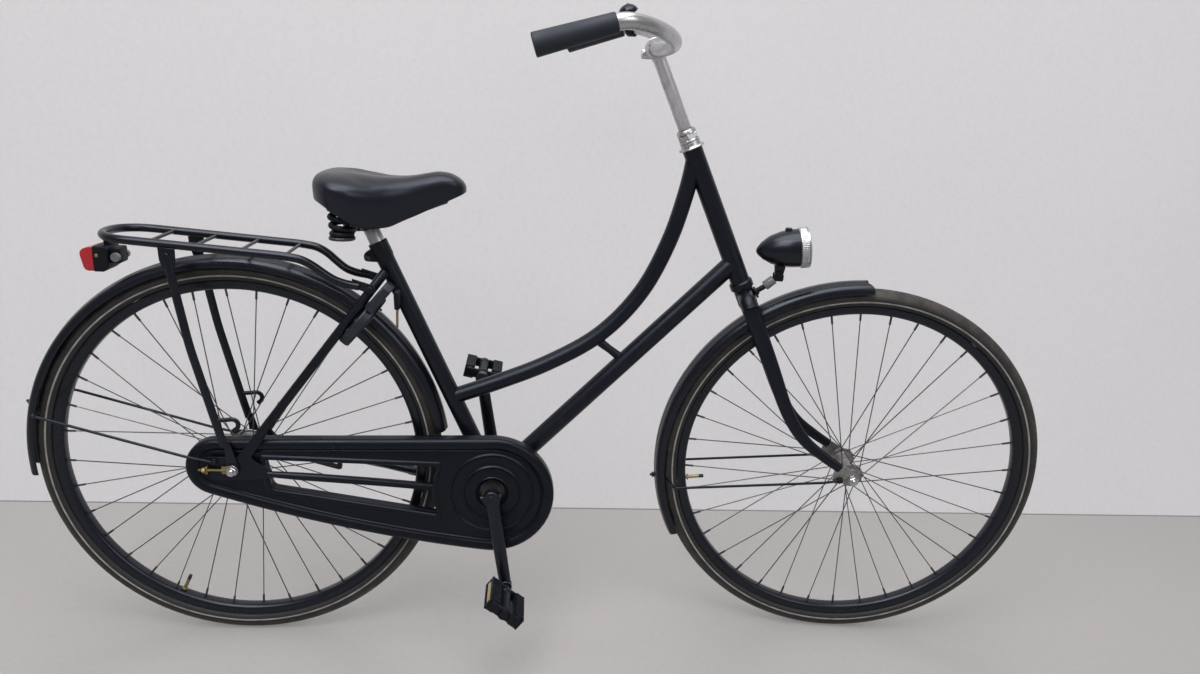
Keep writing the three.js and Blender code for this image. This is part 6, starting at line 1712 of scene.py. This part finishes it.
class BIKE_OT_lock(bpy.types.Operator):
    """Makes the ring lock with its sliding bolt and hanging key"""

    bl_idname = "bike.lock"
    bl_label = "Ring lock"

    def execute(self, context):
        outer = arc(LOCK_OUTER, range(-50, 231, 6))
        inner = arc(LOCK_INNER, range(230, -51, -6))
        ring = plate("ring", [*outer, *inner], -9, 9, edge=3.6, rounds=3)
        cover_line = [(x * 0.985, z * 0.985) for x, z in outer[12:]]
        cover_line += [(x * 1.05, z * 1.05) for x, z in inner[:-12]]
        cover = plate("cover", cover_line, -9.9, -8.8, edge=0.5)
        block_piece = plate("block", [
            (-18, 36), (-49, 36), (-50, 40), (-50, 84), (-43, 92), (-24, 92), (-17, 84),
        ], -5, 11, edge=3, rounds=3)
        plug = turned("plug", [
            (0, 0), (7.4, 0), (7.4, 2), (6.4, 2.8), (0, 2.8),
        ], Vector((-30, -5, 58)), Y * -1, 32, closed=False)
        lock = joined("lock", [ring, cover, block_piece, plug])
        dressed(lock, "ring_lock_body", "frame", "lock shell", LOCKED)
        bolt = tube("bolt", [(x, 0, z) for x, z in arc(LOCK_MIDDLE, range(-49, 44, 4))], 4.2, rounds=4)
        knob_at = on_wheel(ORIGIN, LOCK_MIDDLE, 26)
        dressed(bolt, "ring_lock_bolt", "lock_bolt", "plated steel", LOCKED)
        knob = turned("knob", [
            (0, -17), (5, -16.6), (6, -15), (5.4, -12), (4, -8), (4, 0), (0, 0),
        ], knob_at, Y, 32, closed=False)
        fitted(knob, "ring_lock_knob", "lock_bolt", "black moulding", (), LOCKED)
        bow_outline = [
            (-36, 664.6), (-24, 664.6), (-20, 661), (-19, 653), (-22.6, 641), (-25.6, 631), (-34.4, 631),
            (-37.4, 641), (-41, 653), (-40, 661),
        ]
        bow = plate(
            "bow", bow_outline, -4.4, 4.4, [circle(Vector((-30, 0, 659)), 2, 16)], edge=1.6, rounds=2,
        )
        blade_outline = [
            (-34, 632), (-26, 632), (-26, 624), (-27.4, 622), (-26, 620), (-27.8, 617), (-26, 614),
            (-27.6, 610), (-27, 604), (-30, 599), (-34, 603),
        ]
        blade = plate("blade", blade_outline, -1.7, 1.7, edge=0.4)
        flat = Matrix.Translation(Vector((274, 0, 0)) * MM) @ Matrix.Rotation(math.pi / 2, 4, "Z")
        dressed(bow, "ring_lock_key", "lock_key", "black moulding", flat)
        fitted(blade, "ring_lock_key_blade", "lock_key", "yellow brass", (), flat)
        return {"FINISHED"}


class BIKE_OT_rear_fittings(bpy.types.Operator):
    """Makes the coaster brake arm and the chain tensioner"""

    bl_idname = "bike.rear_fittings"
    bl_label = "Brake arm and tensioner"

    def execute(self, context):
        run = BRAKE_STRAP - REAR_AXLE
        aside = Vector((-run.z, 0, run.x)).normalized()
        outline = [
            REAR_AXLE + aside * 13 + run * 0.02,
            *(on_wheel(REAR_AXLE, 16, degrees) for degrees in range(90, 291, 20)),
            REAR_AXLE - aside * 9 + run * 0.12,
            BRAKE_STRAP - aside * 4.5,
            BRAKE_STRAP + run.normalized() * 5,
            BRAKE_STRAP + aside * 4.5,
            REAR_AXLE + aside * 9 + run * 0.12,
        ]
        arm_line = [point.xz for point in outline]
        arm = plate("arm", arm_line, 52.6, 55.6, [circle(REAR_AXLE, 9, 24)], edge=0.7)
        stay = eased(chainstay_route(1), 8)
        near = min(range(len(stay)), key=lambda i: abs(stay[i].x - BRAKE_STRAP.x))
        spot = stay[near]
        direction = (stay[near + 1] - stay[near - 1]).normalized()
        band = turned("band", [
            (7.6, -6), (9.2, -6), (10, -5), (10, 5), (9.2, 6), (7.6, 6),
        ], spot, direction, 32)
        tab = block(
            "tab", (9, 3, spot.z - BRAKE_STRAP.z), (BRAKE_STRAP.x, 54.1, (spot.z + BRAKE_STRAP.z) / 2), 0.8,
        )
        bolt = hexagon("bolt", (BRAKE_STRAP.x, 55.6, 303), (BRAKE_STRAP.x, 60, 303), 5)
        brake = joined("brake", [arm, band, tab, bolt])
        dressed(brake, "coaster_brake_arm", "frame", "dark steel")
        eye = turned("eye", [
            (5.2, -66.9), (8.6, -66.9), (9, -67.3), (9, -68.9), (8.6, -69.3), (5.2, -69.3),
        ], REAR_AXLE, Y, 40)
        strap = plate("strap", [(-18, 341), (-6, 341), (-6, 355), (-18, 355)], -69.3, -66.9, edge=0.6)
        thread = [(2.4 - (THREAD_DEPTH if i % 2 else 0), 9.6 + i * THREAD_PITCH) for i in range(78)]
        rod_piece = turned(
            "rod", [(0, 9.6), *thread, (0, 56.4)], Vector((0, -69.4, 348)), X * -1, 16, closed=False,
        )
        cap = block("cap", (3.4, 13.4, 14), (-42, -65.3, 348), 0.9)
        nut = hexagon("nut", (-43.7, -69.4, 348), (-49.7, -69.4, 348), 5.4)
        tensioner = joined("tensioner", [eye, strap, rod_piece, cap, nut])
        solids = ["chain_tensioner_right"]
        fitted(tensioner, "chain_tensioner_dressed", "frame", "yellow brass", solids)
        return {"FINISHED"}


# Stage: places in metres, lamp sizes in metres, camera turns (yaw, pitch, roll) in degrees

PHOTO_WIDTH = 1200
FOCAL_PIXELS = 862.69
SENSOR_WIDTH = 36
CAMERA_PLACE = (0.4888, -1.4605, 1.0048)
CAMERA_TURNS = (5.2085, 15.9896, 3.1725)
LAMP_AIM = Vector((0.5, 0, 0.5))
SKY_COLOUR = (0.95, 0.96, 1, 1)
SHEET_SIZE = 14
FLOOR_PLACE = (0.5, 0, -0.0002)
WALL_FOOT = -0.0002
SEAM_HEIGHT = 0.003


def make_backdrop(name, place, turn, tint, plain, seam):
    """A wide sheet that shows a plain share of its own colour in any light, and nothing from behind."""
    fresh()
    bpy.ops.mesh.primitive_plane_add(size=SHEET_SIZE, location=place, rotation=(turn, 0, 0))
    sheet = bpy.context.object
    sheet.name = name
    bpy.ops.object.transform_apply(location=True, rotation=True, scale=True)
    with editing(sheet):
        bpy.ops.mesh.subdivide(number_cuts=4)
    material, tree = blank_material(f"pale {name}")
    where = node(tree, "TexCoord").outputs["Object"]
    cloud = node(tree, "TexNoise", {"Vector": where, "Scale": 1.6, "Detail": 4.0})
    grit = node(tree, "TexNoise", {"Vector": where, "Scale": 90.0, "Detail": 5.0, "Roughness": 0.7})
    tone = mixed(tree, cloud.outputs["Fac"], (*tint, 1), (*(c * 0.93 for c in tint), 1))
    tone = mixed(
        tree, ramp(tree, grit.outputs["Fac"], 0.0, 0.12, 0.45, 0.7), tone, (*(c * 0.6 for c in tint), 1),
    )
    height = node(tree, "SeparateXYZ", {"Vector": where}).outputs["Z"]
    foot = worked(tree, "LESS_THAN", height, seam)
    tone = mixed(tree, foot, tone, (*(c * 0.4 for c in tint), 1))
    matt = node(tree, "BsdfPrincipled", {"Base Color": tone, "Roughness": 0.8})
    glow = node(tree, "Emission", {"Color": tone, "Strength": 1.0})
    rays = node(tree, "LightPath")
    seen = worked(tree, "MAXIMUM", rays.outputs["Is Camera Ray"], rays.outputs["Is Glossy Ray"])
    seen = worked(tree, "MAXIMUM", seen, rays.outputs["Is Transmission Ray"])
    share = worked(tree, "MULTIPLY", seen, plain)
    face = node(tree, "MixShader", {0: share, 1: matt.outputs[0], 2: glow.outputs[0]})
    shape = node(tree, "NewGeometry")
    hidden = worked(tree, "MAXIMUM", shape.outputs["Backfacing"], rays.outputs["Is Shadow Ray"])
    clear = node(tree, "BsdfTransparent")
    both = node(tree, "MixShader", {0: hidden, 1: face.outputs[0], 2: clear.outputs[0]})
    node(tree, "OutputMaterial", {"Surface": both.outputs[0]})
    sheet.data.materials.append(material)


class BIKE_OT_stage(bpy.types.Operator):
    """Makes the pale floor and wall, the soft lights and the camera"""

    bl_idname = "bike.stage"
    bl_label = "Stage"

    def execute(self, context):
        look = context.scene.bike_stage
        make_backdrop("floor", FLOOR_PLACE, 0, look.floor_colour, 0.45, -1.0)
        wall_place = (0.5, look.wall_distance, SHEET_SIZE / 2 + WALL_FOOT)
        make_backdrop("wall", wall_place, math.pi / 2, look.wall_colour, 0.7, SEAM_HEIGHT)
        world = bpy.data.worlds.new("studio")
        context.scene.world = world
        world.use_nodes = True
        tree = world.node_tree
        sky = tree.nodes["Background"]
        sky.inputs["Color"].default_value = SKY_COLOUR
        rays = node(tree, "LightPath")
        seen = worked(tree, "MAXIMUM", rays.outputs["Is Camera Ray"], rays.outputs["Is Transmission Ray"])
        pale = ramp(tree, seen, look.world_strength, look.sky_shown)
        mirrored_sky = worked(tree, "MULTIPLY", rays.outputs["Is Glossy Ray"], look.world_strength)
        strength = worked(tree, "ADD", pale, mirrored_sky)
        tree.links.new(strength, sky.inputs["Strength"])
        for name, place, size, power in (
            ("key", (-0.9, -2.4, 3.4), 2.2, look.key_power),
            ("fill", (2.8, -2.4, 2.6), 2.0, look.key_power * 0.4),
            ("top", (0.4, -0.5, 3.2), 2.6, look.key_power * 1.2),
            ("back", (0.5, 2.6, 2.6), 2.0, look.key_power * 0.4),
        ):
            bpy.ops.object.light_add(type="AREA", location=place)
            lamp = bpy.context.object
            lamp.name = f"{name} light"
            lamp.data.size = size
            lamp.data.energy = power
            lamp.rotation_euler = (LAMP_AIM - Vector(place)).to_track_quat("-Z", "Y").to_euler()
        bpy.ops.object.camera_add()
        camera = bpy.context.object
        yaw, pitch, roll = (math.radians(angle) for angle in CAMERA_TURNS)
        ahead = Vector((math.sin(yaw) * math.cos(pitch), math.cos(yaw) * math.cos(pitch), -math.sin(pitch)))
        level = ahead.cross(Z).normalized()
        upright = level.cross(ahead)
        right = level * math.cos(roll) + upright * math.sin(roll)
        up = upright * math.cos(roll) - level * math.sin(roll)
        camera.matrix_world = Matrix.Translation(CAMERA_PLACE) @ Matrix(
            (right, up, -ahead)
        ).transposed().to_4x4()
        camera.data.sensor_width = SENSOR_WIDTH
        camera.data.lens = FOCAL_PIXELS / PHOTO_WIDTH * SENSOR_WIDTH
        camera.data.clip_start = 0.05
        context.scene.camera = camera
        context.scene.view_settings.view_transform = "Standard"
        return {"FINISHED"}


# Settings, panel and run


def colour(label, detail, value):
    return bpy.props.FloatVectorProperty(
        name=label, description=detail, default=value, min=0, max=1, size=3, subtype="COLOR",
    )


class BikeFinish(bpy.types.PropertyGroup):
    """Colours of the bike's finishes"""

    enamel_colour: colour("Enamel", "Colour of the frame's satin black enamel", (0.0034, 0.0038, 0.0066))
    enamel_roughness: bpy.props.FloatProperty(
        name="Enamel roughness", description="Roughness of the frame's enamel", default=0.32, min=0, max=1,
        subtype="FACTOR",
    )
    plastic_colour: colour(
        "Mouldings", "Colour of the chain case and the small mouldings", (0.0032, 0.0035, 0.0055),
    )
    vinyl_colour: colour("Saddle", "Colour of the saddle's vinyl", (0.006, 0.0062, 0.0095))
    tyre_colour: colour("Tyres", "Colour of the tyres' rubber", (0.008, 0.008, 0.0095))
    tyre_line_colour: colour("Tyre line", "Colour of the pale line round each tyre wall", (0.3, 0.28, 0.25))
    alloy_colour: colour("Alloy", "Colour of the stem and seatpost", (0.62, 0.61, 0.65))
    tail_lens_colour: colour("Tail lens", "Colour of the tail lamp's lens", (0.36, 0.01, 0.018))


class BikeStage(bpy.types.PropertyGroup):
    """Light and background"""

    floor_colour: colour("Floor", "Colour of the floor", (0.41, 0.395, 0.39))
    wall_colour: colour("Wall", "Colour of the wall behind the bike", (0.68, 0.665, 0.68))
    wall_distance: bpy.props.FloatProperty(
        name="Wall distance", description="From the bike's middle plane to the wall", default=0.48, min=0.35,
        subtype="DISTANCE",
    )
    world_strength: bpy.props.FloatProperty(
        name="Sky light", description="Strength of the even light", default=0.14, min=0,
    )
    sky_shown: bpy.props.FloatProperty(
        name="Sky shown", description="Strength of the sky that the camera sees", default=0.66, min=0,
    )
    key_power: bpy.props.FloatProperty(
        name="Main light", description="Power of the main soft light", default=75, min=0, subtype="POWER",
    )


class BIKE_PT_panel(bpy.types.Panel):
    """Lists the bike's settings and its steps"""

    bl_label = "City bike"
    bl_idname = "BIKE_PT_panel"
    bl_space_type = "VIEW_3D"
    bl_region_type = "UI"
    bl_category = "City bike"

    def draw(self, context):
        for settings in (context.scene.bike_finish, context.scene.bike_stage):
            for key in settings.__annotations__:
                self.layout.prop(settings, key)
        for step in STEPS:
            self.layout.operator(step.bl_idname)


STEPS = (
    BIKE_OT_finishes, BIKE_OT_stage, BIKE_OT_wheels, BIKE_OT_frame, BIKE_OT_steering, BIKE_OT_headlamp,
    BIKE_OT_saddle, BIKE_OT_chain_case, BIKE_OT_cranks, BIKE_OT_mudguards, BIKE_OT_carrier, BIKE_OT_lock,
    BIKE_OT_rear_fittings,
)
CLASSES = (BikeFinish, BikeStage, *STEPS, BIKE_PT_panel)


def register():
    for kind in CLASSES:
        bpy.utils.register_class(kind)
    bpy.types.Scene.bike_finish = bpy.props.PointerProperty(type=BikeFinish)
    bpy.types.Scene.bike_stage = bpy.props.PointerProperty(type=BikeStage)


def unregister():
    del bpy.types.Scene.bike_stage
    del bpy.types.Scene.bike_finish
    for kind in reversed(CLASSES):
        bpy.utils.unregister_class(kind)


def main():
    register()
    for step in STEPS:
        getattr(bpy.ops.bike, step.bl_idname.split(".")[1])()
    fresh()
    bpy.context.view_layer.update()


if __name__ == "__main__":
    main()
